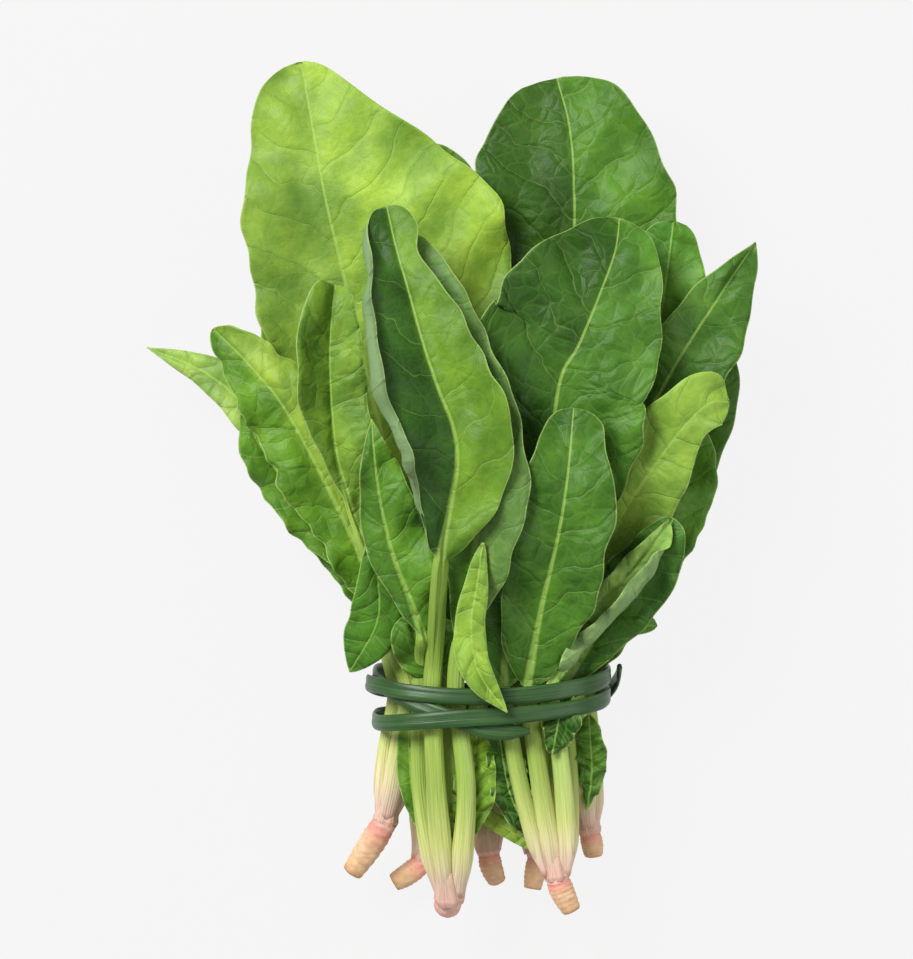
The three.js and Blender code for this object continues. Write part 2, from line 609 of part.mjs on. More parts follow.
function crownSolid(plant) {
  const { crown, root, thick } = PLANTS[plant];
  const at = new THREE.Vector3(...crown);
  const down = new THREE.Vector3(...root[0]).sub(at);
  const length = down.length() - 0.3;
  down.normalize();
  const up = plantMiddle(plant).sub(at).normalize();
  const points = [
    at.clone().addScaledVector(up, 16), at.clone().addScaledVector(up, 8), at.clone(),
    at.clone().addScaledVector(down, length * 0.55), at.clone().addScaledVector(down, length * 0.86),
    at.clone().addScaledVector(down, length),
  ];
  const radii = [0.45, 0.8, 1, 0.92, 0.75, 0.5].map((share) => share * thick);
  return taper(points.map((p) => p.toArray()), radii, 14);
}

function rootSolid(plant) {
  const { crown, root, rootRadius } = PLANTS[plant];
  const [wide, thin] = rootRadius;
  const facing = new THREE.Vector3(...root[0]).sub(new THREE.Vector3(...crown)).normalize();
  return taper(root, [wide * 0.9, mix(wide, thin, 0.5), thin], 12, facing);
}

// A point on the bundle's outline at an angle, with the outward direction there.
function bundlePoint(degrees) {
  const a = radians(degrees);
  const power = (v) => Math.sign(v) * Math.pow(Math.abs(v), 2 / TIE_SQUARE);
  const [u, v] = [power(Math.cos(a)), power(Math.sin(a))];
  const steep = (w, half) => (Math.sign(w) * Math.pow(Math.abs(w), TIE_SQUARE - 1)) / half;
  const out = new THREE.Vector3(steep(u, TIE_HALF_WIDTH), 0, steep(v, TIE_HALF_DEPTH)).normalize();
  return { at: new THREE.Vector3(TIE.x + u * TIE_HALF_WIDTH, TIE.y, TIE.z + v * TIE_HALF_DEPTH), out };
}

function grassSolid() {
  const turns = new THREE.CatmullRomCurve3(
    GRASS_TURNS.map(([angle, y, layer]) => new THREE.Vector3(angle / 8, y, layer * 4)), false, 'centripetal');
  const middle = [];
  for (let i = 0; i <= GRASS.stations; i++) {
    const { x, y, z } = turns.getPoint(i / GRASS.stations);
    const { at, out } = bundlePoint(x * 8);
    at.addScaledVector(out, GRASS.thick / 2 + (z / 4) * GRASS.layer);
    at.y += y;
    middle.push({ at, out });
  }
  const rings = middle.map(({ at, out }, i) => {
    const before = middle[Math.max(0, i - 1)].at;
    const after = middle[Math.min(middle.length - 1, i + 1)].at;
    const tangent = after.clone().sub(before).normalize();
    const across = tangent.clone().cross(out).normalize();
    const normal = across.clone().cross(tangent);
    const end = Math.min(i, middle.length - 1 - i);
    const half = GRASS.halfWide * mix(0.6, 1, end / 3);
    const place = (u, v) => {
      return at.clone().addScaledVector(across, u * half).addScaledVector(normal, v * GRASS.thick);
    };
    return [
      place(-1, -0.3), place(-1, 0.15), place(-0.45, 0.5), place(0.45, 0.5),
      place(1, 0.15), place(1, -0.3), place(0, -0.5),
    ];
  });
  return skinSolid(rings);
}

function mesh(name, solid, colour, roughness) {
  const { vertProperties, triVerts, numProp } = solid.getMesh();
  const position = new Float32Array((vertProperties.length / numProp) * 3);
  for (let i = 0; i < position.length / 3; i++) {
    position.set(vertProperties.subarray(i * numProp, i * numProp + 3), i * 3);
  }
  const geometry = new THREE.BufferGeometry();
  geometry.setAttribute('position', new THREE.BufferAttribute(position, 3));
  geometry.setIndex(new THREE.BufferAttribute(new Uint32Array(triVerts), 1));
  geometry.computeVertexNormals();
  const material = new THREE.MeshStandardMaterial({ color: colour, roughness, metalness: 0 });
  const made = new THREE.Mesh(geometry, material);
  made.name = name;
  return made;
}

const solids = [];
for (const plant of Object.keys(PLANTS).map(Number)) {
  let leafy = crownSolid(plant);
  for (const { leaf, sheets } of laid) {
    if (leaf.plant === plant) for (const sheet of sheets) leafy = leafy.add(leafSolid(sheet));
  }
  solids.push({ name: `plant_${plant}_leaves`, solid: leafy, colour: 0x4f9a2e, roughness: 0.55 });
  solids.push({ name: `plant_${plant}_root`, solid: rootSolid(plant), colour: 0xd9a58a, roughness: 0.7 });
}
solids.push({ name: 'tie_grass_blade', solid: grassSolid(), colour: 0x3f6b3f, roughness: 0.5 });

// What lies on the table is pressed flat there.
const lowest = Math.min(...solids.map(({ solid }) => solid.boundingBox().min[2]));
for (const part of solids) part.solid = part.solid.trimByPlane([0, 0, 1], lowest + PRESSED_FLAT);

const low = [Infinity, Infinity, Infinity];
const high = [-Infinity, -Infinity, -Infinity];
for (const { solid } of solids) {
  const box = solid.boundingBox();
  for (let k = 0; k < 3; k++) {
    low[k] = Math.min(low[k], box.min[k]);
    high[k] = Math.max(high[k], box.max[k]);
  }
}
const shift = [-(low[0] + high[0]) / 2, -(low[1] + high[1]) / 2, -low[2]];

const bunch = new THREE.Group();
for (const { name, solid, colour, roughness } of solids) {
  bunch.add(mesh(name, solid.translate(shift), colour, roughness));
}

export default bunch;
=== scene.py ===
# %% [markdown]
# # A bunch of spinach
# The bunch lies on a table, roots towards -Y and leaves towards +Y, and the camera looks straight
# down on it. Seven whole plants are held at the stems by one long flat grass blade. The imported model
# gives the size and the place of every plant, and this script gives each leaf its veins, its waves
# and its skin. Blender works in metres, and a plant is easier to think of in millimetres, so every
# size below is in millimetres and is turned to metres when a mesh is made.

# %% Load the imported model
import math

import bpy
import numpy as np
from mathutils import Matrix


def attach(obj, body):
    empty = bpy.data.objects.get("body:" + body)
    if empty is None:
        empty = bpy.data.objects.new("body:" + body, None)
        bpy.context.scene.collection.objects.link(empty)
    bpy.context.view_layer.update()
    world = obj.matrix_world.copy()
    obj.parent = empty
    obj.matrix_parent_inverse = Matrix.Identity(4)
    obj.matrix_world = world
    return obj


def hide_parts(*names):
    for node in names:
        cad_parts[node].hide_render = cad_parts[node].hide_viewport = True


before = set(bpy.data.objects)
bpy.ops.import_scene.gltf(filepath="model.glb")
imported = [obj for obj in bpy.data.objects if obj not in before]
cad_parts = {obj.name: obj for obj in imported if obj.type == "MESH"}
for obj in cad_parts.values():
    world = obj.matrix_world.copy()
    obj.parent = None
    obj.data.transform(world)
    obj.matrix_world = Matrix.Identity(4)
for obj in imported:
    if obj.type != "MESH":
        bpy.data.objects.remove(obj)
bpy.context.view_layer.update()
MM = 0.001
bpy.ops.object.select_all(action="DESELECT")

# %% [markdown]
# ## The bunch on paper
# The plants are drawn first, as a florist would sketch them: where each crown is, where each stalk
# goes through the tie, and the line of each leaf's rib from the foot of the blade to its tip. The
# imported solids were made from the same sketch, so what is modelled here lands where they are. Since
# then a few leaves and stalks were moved by some millimetres, to lie as in the photograph.

# %% Driving sizes
SHIFT = np.array([-0.17, 0.46, -0.15])  # from the sketch's origin to the frame's
TIE = np.array([14.0, -69.0, 27.0])  # middle of the stalks where the grass blade holds them
TIE_HALF_WIDTH = 38.5
TIE_HALF_DEPTH = 24.5
TIE_SQUARE = 2.5  # 2 would be an ellipse; more is squarer
CLEAR_OF_TIE = -55.0  # stalks stay level until they are past the grass blade
SLOT_ROW = 6.2  # height from one layer of stalks in the tie to the next

# half widths and half depths of a stalk and rib, at the crown, half way up, at the neck, at the tip
STALK_WIDTH = dict(sheath=4.3, middle=3.3, neck=2.8, tip=0.3)
STALK_DEPTH = dict(sheath=2.7, middle=2.9, neck=2.3, tip=0.4)
BLADE_THICK = 0.55
MARGIN_THICK = 0.3
PUCKER = 0.45  # how strongly a leaf is quilted between its veins, unless its entry says otherwise
CLEARANCE = 0.5  # between one leaf and the next

# %% [markdown]
# ## Plants
# A spinach plant is a rosette: all its leaves grow from one short crown, which passes into a taproot
# that was cut off at harvest. Crown and root are a few points and a few radii each. `bow` is how far
# the stalks stand apart half way to the tie, `blush` squeezes the pink zone of the stalks, and `tan`
# says how much of the root has its tan skin.

# %% Crowns and roots
PLANTS = {
    1: dict(crown=(-20, -105, 24), thick=7.5, root=[(-22, -113, 23), (-27, -121, 20), (-33, -130, 17)],
            root_radius=(5.2, 3.6), blush=0.75),
    2: dict(crown=(-1, -129, 37), thick=9, root=[(0, -138.5, 32.5), (-0.5, -140.6, 28), (-2.5, -140.6, 21.5)],
            root_radius=(4.6, 3.2), bow=6.2, tan=0.05),
    3: dict(crown=(12, -116, 23), thick=7, root=[(13, -123, 22), (14, -128, 21), (16, -133, 19)],
            root_radius=(4.4, 3.0)),
    4: dict(crown=(35, -123, 36), thick=7.5, root=[(36, -131, 35), (38, -136, 34), (41, -142, 33)],
            root_radius=(4.8, 3.2)),
    5: dict(crown=(46, -108, 24), thick=7, root=[(47, -116, 23), (48, -120, 22), (48.5, -124, 21)],
            root_radius=(4.2, 3.2)),
    6: dict(crown=(-5, -120, 10), thick=7, root=[(-9, -127, 9), (-14, -131, 8.5), (-19, -134, 8)],
            root_radius=(4.4, 3.2)),
    7: dict(crown=(30, -118, 10), thick=7, root=[(30, -125, 9), (29, -130, 9), (28, -136, 9)],
            root_radius=(4.2, 3.0)),
}

# %% [markdown]
# ## Leaves
# Each leaf is one entry, from the table up. `slot` is the place of its stalk in the tie, `rib` the
# line of its rib, `wide` the half width to the left and to the right of the rib. A list of two is
# always left and right, and a tuple of three is foot, middle and tip. `fold` turns a half towards
# the eye, `curl` bends it on to the margin, `crease` folds a half over at a line, and `wave` is the
# ripple of the margin: how high, how many, and where it starts. `widest` is where along the blade it
# is widest, and `foot` and `tip` say how slowly it narrows to either end. `blunt` is the radius of a
# round tip, `ragged` the size of small notches, and `pucker` how strongly the skin is quilted.

# %% Leaf table
LEAVES = [
    dict(
        name="under_1", plant=6, slot=(-16, -3),
        rib=[(-10, -38, 4), (-36, 5, 0), (-50, 38, -1), (-57, 62, 0)], wide=[17, 17], widest=0.6,
        tip=0.5, wave=(1.2, 3, 0),
    ),
    dict(
        name="under_2", plant=7, slot=(16, -3),
        rib=[(34, -38, 4), (56, -4, 0), (74, 20, -1), (82, 38, 0)], wide=[17, 16], widest=0.6, tip=0.5,
        wave=(1.2, 3, 2),
    ),
    dict(
        name="under_3", plant=6, slot=(-4, -3),
        rib=[(8, -54, 6), (4, -25, 4), (0, 15, 0), (-8, 65, -2), (-16, 108, -1)], wide=[24, 26],
        widest=0.6, tip=0.5, foot=0.45, wave=(0.8, 3, 4),
    ),
    dict(
        name="under_4", plant=7, slot=(4, -3),
        rib=[(24, -54, 6), (29, -25, 5), (38, 15, 3), (48, 60, 3), (52, 98, 4)], wide=[24, 20],
        widest=0.6, tip=0.45, foot=0.45, wave=(1.5, 3, 1),
    ),
    dict(
        name="leaf_01", plant=6, slot=(-24, -2),
        rib=[(-12, -50, 11), (-22, -43, 12), (-30, -36, 12), (-35.5, -32.5, 11)], wide=[3.5, 6],
        widest=0.5, tip=0.7, wave=(0.5, 2, 0),
    ),
    dict(
        name="leaf_02", plant=1, slot=(-28, -1),
        rib=[(-14, -62, 22), (-30, -32, 19), (-42, -17, 18), (-54, -5, 16)], wide=[7, 9], widest=0.6,
        tip=0.6, foot=0.6, wave=(1.8, 4, 1), ragged=1,
    ),
    dict(
        name="leaf_03", plant=6, slot=(-16, -2),
        rib=[(-14, -30, 14), (-38, 15, 17), (-54, 45, 18), (-64, 69, 16)], wide=[9, 14], widest=0.6,
        tip=0.6, wave=(2, 3, 3), ragged=0.9,
    ),
    dict(
        name="leaf_20", plant=7, slot=(20, -1),
        rib=[(40, -51, 19), (51, -48, 20), (61, -46.5, 20), (70, -46.5, 18)], wide=[6, 4], widest=0.6,
        tip=0.5, wave=(0.4, 2, 0),
    ),
    dict(
        name="leaf_04", plant=7, slot=(24, -2),
        rib=[(44, -38, 12), (66, -8, 16), (80, 15, 18), (88, 35, 18), (92, 50, 17)], wide=[14, 13],
        widest=0.6, tip=0.5, wave=(1, 4, 2),
    ),
    dict(
        name="leaf_05", plant=3, slot=(-4, -1),
        rib=[(8, -25, 20), (6, 35, 24), (2, 82, 25), (-5, 116, 25)], wide=[14, 19], widest=0.6,
        tip=[0.8, 0.55], wave=(1.2, 3, 0),
    ),
    dict(
        name="leaf_07", plant=3, slot=(8, -1),
        rib=[(24, -25, 22), (34, 30, 28), (41, 78, 32), (41.5, 104, 33), (40, 122, 31), (36, 138, 27)],
        wide=[35, 36], widest=[0.7, 0.62], tip=[0.3, 0.45], curl=[(8, 14, 14), (8, 6, 16)],
        wave=(0.9, 3, 1), pucker=0.5,
    ),
    dict(
        name="leaf_06", plant=6, slot=(-12, -1),
        rib=[
            (-12, -25, 20), (-25, 25, 26), (-35.5, 70, 30), (-42, 98, 32), (-46, 120, 31), (-50, 143.3, 28),
        ],
        wide=[31, 58], widest=[0.56, 0.6], tip=[0.52, 1.1], foot=1.2, curl=[(10, 12, 6), (8, 14, 10)],
        wave=(1.6, 4, 2), blunt=10, pucker=0.2,
    ),
    dict(
        name="leaf_08", plant=5, slot=(28, -1),
        rib=[(42, -36, 20), (58, 10, 26), (70, 55, 31), (75, 89.5, 31)], wide=[20, 17], widest=0.62,
        tip=0.4, wave=(0.9, 3, 1),
    ),
    dict(
        name="leaf_09", plant=1, slot=(-32, 0),
        rib=[(-24, -38, 24), (-46, 0, 25), (-64, 23, 24), (-82, 38.5, 22), (-102.5, 47.5, 18)],
        wide=[7.5, 8.5], widest=0.6, tip=0.9, wave=(0.5, 2, 0),
    ),
    dict(
        name="leaf_10", plant=1, slot=(-24, 0),
        rib=[(-20, -40, 27), (-43, -14, 28), (-57, 4, 28), (-65, 16, 27), (-69.5, 26, 25)], wide=[9, 13],
        widest=0.6, tip=0.5, wave=(2, 4, 0), ragged=0.9,
    ),
    dict(
        name="leaf_11", plant=5, slot=(32, 0),
        rib=[(46, -64, 27), (60, -34, 28), (73, -12, 28), (81, 5, 27), (85, 20, 25)], wide=[10, 12],
        widest=0.55, tip=0.5, foot=0.6, wave=(1.6, 4, 3), ragged=0.6,
    ),
    dict(
        name="leaf_12", plant=5, slot=(24, 0),
        rib=[(40, -30, 28), (60, 12, 36), (76, 42, 40), (90, 64, 38), (102.5, 82.5, 32)], wide=[12, 18],
        widest=0.6, tip=[0.9, 0.8], curl=[(0, 6, 6), (10, 14, 10)], wave=(0.9, 3, 0),
    ),
    dict(
        name="leaf_13", plant=1, slot=(-28, 1),
        rib=[(-18, -56, 32), (-28, -28, 35), (-40, -2, 38), (-55, 26, 40), (-67, 41, 38), (-79.5, 53.5, 33)],
        wide=[14, 14], widest=0.6, tip=0.55, foot=1, curl=[(10, 18, 8), (0, 8, 4)], wave=(2.4, 4, 1),
        ragged=0.9,
    ),
    dict(
        name="leaf_16", plant=5, slot=(28, 1),
        rib=[
            (42, -38, 34), (51, -22, 38), (62, -2, 46), (72, 13, 52), (80, 23, 56), (87, 28.5, 56),
            (93, 28.5, 53),
        ],
        wide=[14, 15], widest=[0.6, 0.38], tip=[0.5, 1], foot=0.8, curl=[None, (10, 20, 40)],
        wave=(0.7, 2, 0), blunt=8, pucker=0.3,
    ),
    dict(
        name="leaf_14", plant=4, slot=(24, 2),
        rib=[(38, -66, 39.5), (53, -44, 38), (66, -28, 38), (74.5, -10, 34)], wide=[12, 11], widest=0.6,
        tip=0.5, foot=0.5, wave=(1.8, 4, 0),
    ),
    dict(
        name="leaf_17", plant=4, slot=(8, 2),
        rib=[
            (30, -42, 44), (32, -8, 50), (36, 33, 57), (43, 48, 58), (50, 65, 57), (55, 79, 54),
            (56.5, 90, 50),
        ],
        wide=[33, 30], widest=[0.65, 0.47], tip=[0.5, 0.5], foot=1.2, curl=[(8, 16, 16), (8, 12, 14)],
        wave=(0.9, 3, 2), pucker=0.5,
    ),
    dict(
        name="leaf_18", plant=4, slot=(4, 3),
        rib=[(18, -66, 45), (18, -46, 49), (15, -24, 55)], wide=[9, 9], widest=0.35, tip=0.7, foot=0.4,
        wave=(0.8, 2, 0),
    ),
    dict(
        name="leaf_15", plant=4, slot=(20, 3),
        rib=[(34, -66, 45), (40, -50, 47), (52, -38, 49), (61.5, -27, 50), (68, -18, 49), (73, -10.5, 47)],
        wide=[6, 15], widest=[0.5, 0.5], tip=0.8, foot=0.4, crease=[None, (0.5, 150, 0.8)],
        wave=(1.9, 5, 1),
    ),
    dict(
        name="leaf_19", plant=4, slot=(12, 3),
        rib=[(26, -66, 45.5), (30, -42, 53), (36, -15, 65), (39, 5, 68), (41, 26.5, 64)], wide=[16, 18],
        widest=0.5, tip=0.4, foot=0.5, curl=[(10, 20, 20), (10, 20, 20)], wave=(0.5, 3, 0), blunt=4,
    ),
    dict(
        name="leaf_21", plant=2, slot=(-20, 1),
        rib=[
            (-30, -15, 46), (-35, 0, 50), (-38, 12, 53), (-39.5, 28, 56), (-40, 45, 59), (-39, 60, 61),
            (-38, 67.5, 58),
        ],
        wide=[14, 13], widest=[0.72, 0.45], tip=0.35, foot=[2, 0.7], fold=[(10, 30, 30), (10, 20, 20)],
        wave=(0.5, 2, 0),
        lobe=dict(
            rib=[(-26, -12, 47), (-24, -30, 47), (-24.5, -45, 46), (-33.5, -61.5, 42)], wide=[8, 9.5],
            widest=[0.65, 0.72], tip=[0.6, 0.9], foot=0.8,
        ),
    ),
    dict(
        name="leaf_22", plant=2, slot=(-16, 2),
        rib=[(-6, -62, 41), (-11, -52, 43), (-14, -42, 44)], wide=[9, 15], widest=0.45, tip=0.5, foot=0.4,
        wave=(1, 2, 0), pucker=0.7,
    ),
    dict(
        name="leaf_23", plant=2, slot=(-24, 2),
        rib=[(-9, -50, 43), (-13, -38, 49), (-19, -22, 54), (-23, -5, 57), (-25, 10, 58), (-26, 23, 56)],
        wide=[8, 13], widest=[0.5, 0.42], tip=0.9, foot=0.8, wave=(1.4, 3, 0),
    ),
    dict(
        name="leaf_24", plant=2, slot=(-12, 3),
        rib=[
            (3, -52, 49), (5, -38, 53), (8, -22, 59), (10, -5, 63), (10, 10, 65), (6, 28, 66), (-1, 50, 64),
            (-7, 68, 61), (-12, 84, 57),
        ],
        wide=[11, 16], widest=0.42, tip=0.5, foot=0.7, curl=[(0, 10, 10), (10, 24, 10)],
        wave=(0.7, 3, 1),
        lobe=dict(
            rib=[(11, -18, 61), (9, -32, 60), (7, -46, 60), (9.5, -61, 60), (19, -74.5, 59)],
            wide=[5, 6], widest=0.6, tip=0.8, foot=0.6,
        ),
    ),
    dict(
        name="leaf_25", plant=2, slot=(-20, 3),
        rib=[
            (-3, -24, 60), (0, -6, 65), (2.3, 8, 69), (1, 20, 71), (-4, 33, 72), (-9, 48, 72), (-14, 66, 70),
            (-18, 80, 67), (-21, 93.5, 62),
        ],
        wide=[28, 20], widest=[0.45, 0.4], tip=[0.75, 1.15], foot=[0.8, 0.6],
        fold=[(25, 32, 30), (0, 0, 0)], curl=[None, (10, 20, 20)], crease=[(0.84, 150, 0.93), None],
        wave=(1, 4, 0), blunt=8, pucker=0.3,
    ),
]

# young leaves that grow from a crown and end below the tie
YOUNG = [
    dict(
        name="young_1", plant=2,
        rib=[(2, -122, 38), (7, -104, 41), (9, -82, 41)], wide=[7, 8], widest=0.55, tip=0.4, foot=0.8,
        curl=[None, (0, 30, 20)], wave=(1.6, 4, 0), pucker=1.1,
    ),
    dict(
        name="young_2", plant=4,
        rib=[(28, -119, 36), (20, -102, 40), (16, -80, 41)], wide=[6.5, 8], widest=0.6, tip=0.5,
        foot=0.8, curl=[(0, 30, 20), None], wave=(1.8, 4, 2), pucker=1.1, ragged=1,
    ),
    dict(
        name="young_3", plant=4,
        rib=[(32, -122, 33), (20, -115, 33), (10, -108, 33.5), (5, -99, 34)], wide=[3, 3], widest=0.5,
        tip=0.5, foot=0.3, wave=(0, 1, 0),
    ),
    dict(
        name="young_4", plant=4,
        rib=[(38, -68, 46), (36, -79, 48.5), (34, -89, 48)], wide=[7, 5], widest=0.5, tip=0.6,
        foot=0.5, wave=(2.2, 3, 0), ragged=1.3, pucker=1.1,
    ),
    dict(
        name="young_5", plant=5,
        rib=[(46, -108, 31), (47.5, -95, 36.5), (46.5, -76, 39)], wide=[5, 5], widest=0.6, tip=0.5,
        foot=0.8, wave=(1.6, 4, 0), pucker=1.1, ragged=0.8,
    ),
    dict(
        name="young_7", plant=7,
        rib=[(17, -114, 14), (17, -90, 19), (16, -62, 21), (15, -48, 22)], wide=[10, 10], widest=0.6,
        tip=0.4, foot=0.6, wave=(1, 3, 0), pucker=1.1,
    ),
    dict(
        name="young_6", plant=2,
        rib=[(-9, -117, 33), (-13, -100, 36), (-14, -76, 38)], wide=[4.5, 5], widest=0.6, tip=0.5,
        foot=0.8, wave=(1.2, 3, 1),
    ),
]

# %% [markdown]
# ## Colours
# No two leaves of a bunch have one green. Old outer leaves are pale and yellow, young full ones dark
# and bluish, and an underside is greyer than the upper skin. Each leaf gets the green of its left
# half and of its right half. The left halves of leaf_17 and leaf_25 are darkened further as painted
# shade of their folds, and the left half of leaf_16 is lightened as painted light against the shadow
# of leaf_19.

# %% Leaf greens
GREENS = {
    "under_1": ("#47762A", "#47762A"),
    "under_2": ("#3F6E26", "#3F6E26"),
    "under_3": ("#5A8A36", "#5A8A36"),
    "under_4": ("#4B7C2C", "#4B7C2C"),
    "leaf_01": ("#4C7F2D", "#5E9038"),
    "leaf_02": ("#5A8E34", "#4C802C"),
    "leaf_03": ("#71A03A", "#6A9A38"),
    "leaf_04": ("#4C7C30", "#4C7C30"),
    "leaf_05": ("#5E8E42", "#648F48"),
    "leaf_06": ("#80A24E", "#90B250"),
    "leaf_07": ("#355D20", "#4E7E2C"),
    "leaf_08": ("#58923A", "#63983C"),
    "leaf_09": ("#9CBC76", "#96B86C"),
    "leaf_10": ("#629234", "#54832D"),
    "leaf_11": ("#669A46", "#669A46"),
    "leaf_12": ("#54823A", "#46742E"),
    "leaf_13": ("#62912E", "#98B656"),
    "leaf_14": ("#487C30", "#40722A"),
    "leaf_15": ("#9CC07C", "#8DB96E"),
    # left half lightened as painted light against the shadow of leaf_19
    "leaf_16": ("#90B457", "#88AA54"),
    # left half darkened as painted shade of the leaf's fold
    "leaf_17": ("#345F1C", "#4C7C30"),
    "leaf_18": ("#4C8030", "#4C8030"),
    "leaf_19": ("#44722A", "#4A7A2E"),
    "leaf_20": ("#649A46", "#649A46"),
    "leaf_21": ("#6A9038", "#789E48"),
    "leaf_22": ("#5C8C34", "#5C8C34"),
    "leaf_23": ("#4F7F2E", "#5E9036"),
    "leaf_24": ("#5A8A34", "#6B905C"),
    # left half darkened as painted shade of the folded-up half
    "leaf_25": ("#2D571C", "#6C9438"),
    "young_1": ("#93B54A", "#7FA63C"),
    "young_2": ("#3E6C28", "#3A6626"),
    "young_3": ("#A4C05A", "#A4C05A"),
    "young_4": ("#3F702A", "#3A6826"),
    "young_5": ("#5C8C36", "#5C8C36"),
    "young_7": ("#2E5A1C", "#2E5A1C"),
    "young_6": ("#6A983A", "#6A983A"),
}
LOBE_GREENS = {"leaf_21": ("#4A7E2A", "#4A7E2A"), "leaf_24": ("#92B456", "#8CB050")}


def linear(hex_colour):
    """An sRGB hex value as a linear colour with full alpha."""
    channels = [int(hex_colour[i:i + 2], 16) / 255 for i in (1, 3, 5)]
    return [c / 12.92 if c <= 0.04045 else ((c + 0.055) / 1.055) ** 2.4 for c in channels] + [1.0]


print("leaves", len(LEAVES), "young leaves", len(YOUNG))

# %% [markdown]
# ## The rib line
# The rib is a smooth line through its points. Along it goes a frame of three directions: on, to the
# side, and out of the skin. The frame is carried from step to step and never twists by itself, so
# the blade doesn't either.

# %% Rib line
STEPS = 40


def unit(vectors):
    return vectors / np.linalg.norm(vectors, axis=-1, keepdims=True)


def smooth_line(points, steps):
    """A uniform Catmull-Rom line through the points, with so many steps from one to the next."""
    knots = np.array(points, dtype=float)
    knots = np.vstack([2 * knots[0] - knots[1], knots, 2 * knots[-1] - knots[-2]])
    pieces = []
    for a, b, c, d in zip(knots[:-3], knots[1:-2], knots[2:-1], knots[3:]):
        t = np.arange(steps)[:, None] / steps
        pieces.append(b + 0.5 * (c - a) * t + (a - 2.5 * b + 2 * c - 0.5 * d) * t**2
                      + (1.5 * (b - c) + 0.5 * (d - a)) * t**3)
    return np.vstack(pieces + [knots[-2:-1]])


class RibLine:
    def __init__(self, points, blade_from):
        self.at = smooth_line(points, STEPS)
        apart = np.linalg.norm(np.diff(self.at, axis=0), axis=1)
        self.length = np.concatenate([[0], np.cumsum(apart)])
        near = np.arange(len(self.at))
        ahead = self.at[np.minimum(near + 1, len(near) - 1)]
        self.tangent = unit(ahead - self.at[np.maximum(near - 1, 0)])
        start = blade_from * STEPS
        self.side = np.zeros_like(self.at)
        self.side[start] = unit(np.cross(self.tangent[start], [0, 0, 1]))
        for i in range(start + 1, len(near)):
            self.carry(i - 1, i)
        for i in range(start - 1, -1, -1):
            self.carry(i + 1, i)
        self.total = self.length[-1]
        self.blade_start = self.length[start]

    def carry(self, here, there):
        off = self.side[here] @ self.tangent[there]
        self.side[there] = unit(self.side[here] - off * self.tangent[there])

    def reach(self, point):
        return self.length[point * STEPS]

    def sample(self, values, s):
        return np.stack([np.interp(s, self.length, values[:, k]) for k in range(3)], axis=1)


# %% [markdown]
# ## The shape of a blade
# Across the blade, the skin starts at the rib and bends by a growing angle, which gives a fold at
# the rib, a curl towards the margin, or a sharp crease. Along the blade, the half width follows a
# sine to where it is widest and a cosine to the tip. A real blade also swells between its veins and
# ruffles at its margin, because it grew more at the margin than at the rib.

# %% Blade shape
def ease(u):
    v = np.clip(u, 0, 1)
    return v * v * (3 - 2 * v)


def mix(a, b, t):
    return a + (b - a) * np.clip(t, 0, 1)


def along(values, t):
    """A value at place t of a blade, from its values at the foot, the middle and the tip."""
    foot, middle, tip = values or (0, 0, 0)
    lower = foot + (middle - foot) * ease(t * 2)
    return np.where(t < 0.5, lower, middle + (tip - middle) * ease(t * 2 - 1))


def pick(value, hand, usual=None):
    """A list holds a value for the left and one for the right; anything else is for both."""
    if isinstance(value, list):
        value = value[hand]
    return usual if value is None else value


def outline(t, widest, foot, tip, blunt=0.0, half=1.0, length=1.0):
    """Half width of a blade: 0 at the foot and the tip, 1 where it is widest.

    A blunt tip ends in an arc with that radius in mm."""
    inside = np.clip(t, 1e-9, 1 - 1e-9)
    rising = np.sin(math.pi / 2 * np.minimum(inside / widest, 1)) ** foot
    closing = np.clip(np.cos(math.pi / 2 * (inside - widest) / (1 - widest)), 0, 1) ** tip
    if blunt > 0:
        from_tip = (1 - inside) * length / blunt
        arc = np.sqrt(np.clip(1 - (1 - np.minimum(from_tip, 1)) ** 2, 0, 1)) * blunt / half
        closing = np.minimum(np.hypot(closing, arc * (1 - ease((from_tip - 1) / 2))), 1)
    return np.where((t <= 0) | (t >= 1), 0, np.where(inside < widest, rising, closing))


def vein_phase(u, s, spacing, hand, seed):
    """Side veins leave the rib at half a right angle and bend on towards the tip."""
    drift = 1.6 * np.sin(u * 0.21 + s * 0.11 + seed) + 1.1 * np.sin(s * 0.33 - u * 0.17 + 2.1 * seed)
    return (s - 0.62 * u - 0.006 * u * u + drift) / spacing + 0.5 * hand + 0.37 * seed


def blade_relief(u, s, q, phase, spacing, seed, pucker):
    """How far the skin stands off the plain blade, in mm: broad swells, and pillows between veins.

    The waves are given in radians per mm, so 0.135 is a swell every 47 mm."""
    broad = np.sin(s * 0.135 + u * 0.06 + 1.7 * seed) * np.sin(u * 0.17 - s * 0.04 + 0.9 * seed)
    broad = broad + 0.6 * np.sin(s * 0.22 - u * 0.19 + 3.1 * seed)
    pillow = 0.45 - np.exp(-((np.sin(math.pi * phase) / 0.45) ** 2))
    small = np.sin(u * 0.62 + s * 0.31 + seed) * np.sin(s * 0.58 - u * 0.22 + 2.3 * seed)
    size = np.minimum(spacing / 12, 1)
    return ease(q * 2.2) * size * (1.5 * broad + pucker * (0.9 * pillow + 0.4 * small))


# %% [markdown]
# ## A leaf as rules
# A leaf knows its rib line and, for any station along it and any place across it, where the skin is
# and how thick. The stalk and the rib are one body: below the blade it is a juicy round stalk, and in
# the blade it stands out on the underside and lies in a groove above.

# %% Leaf rules
BEND_STEPS = 16


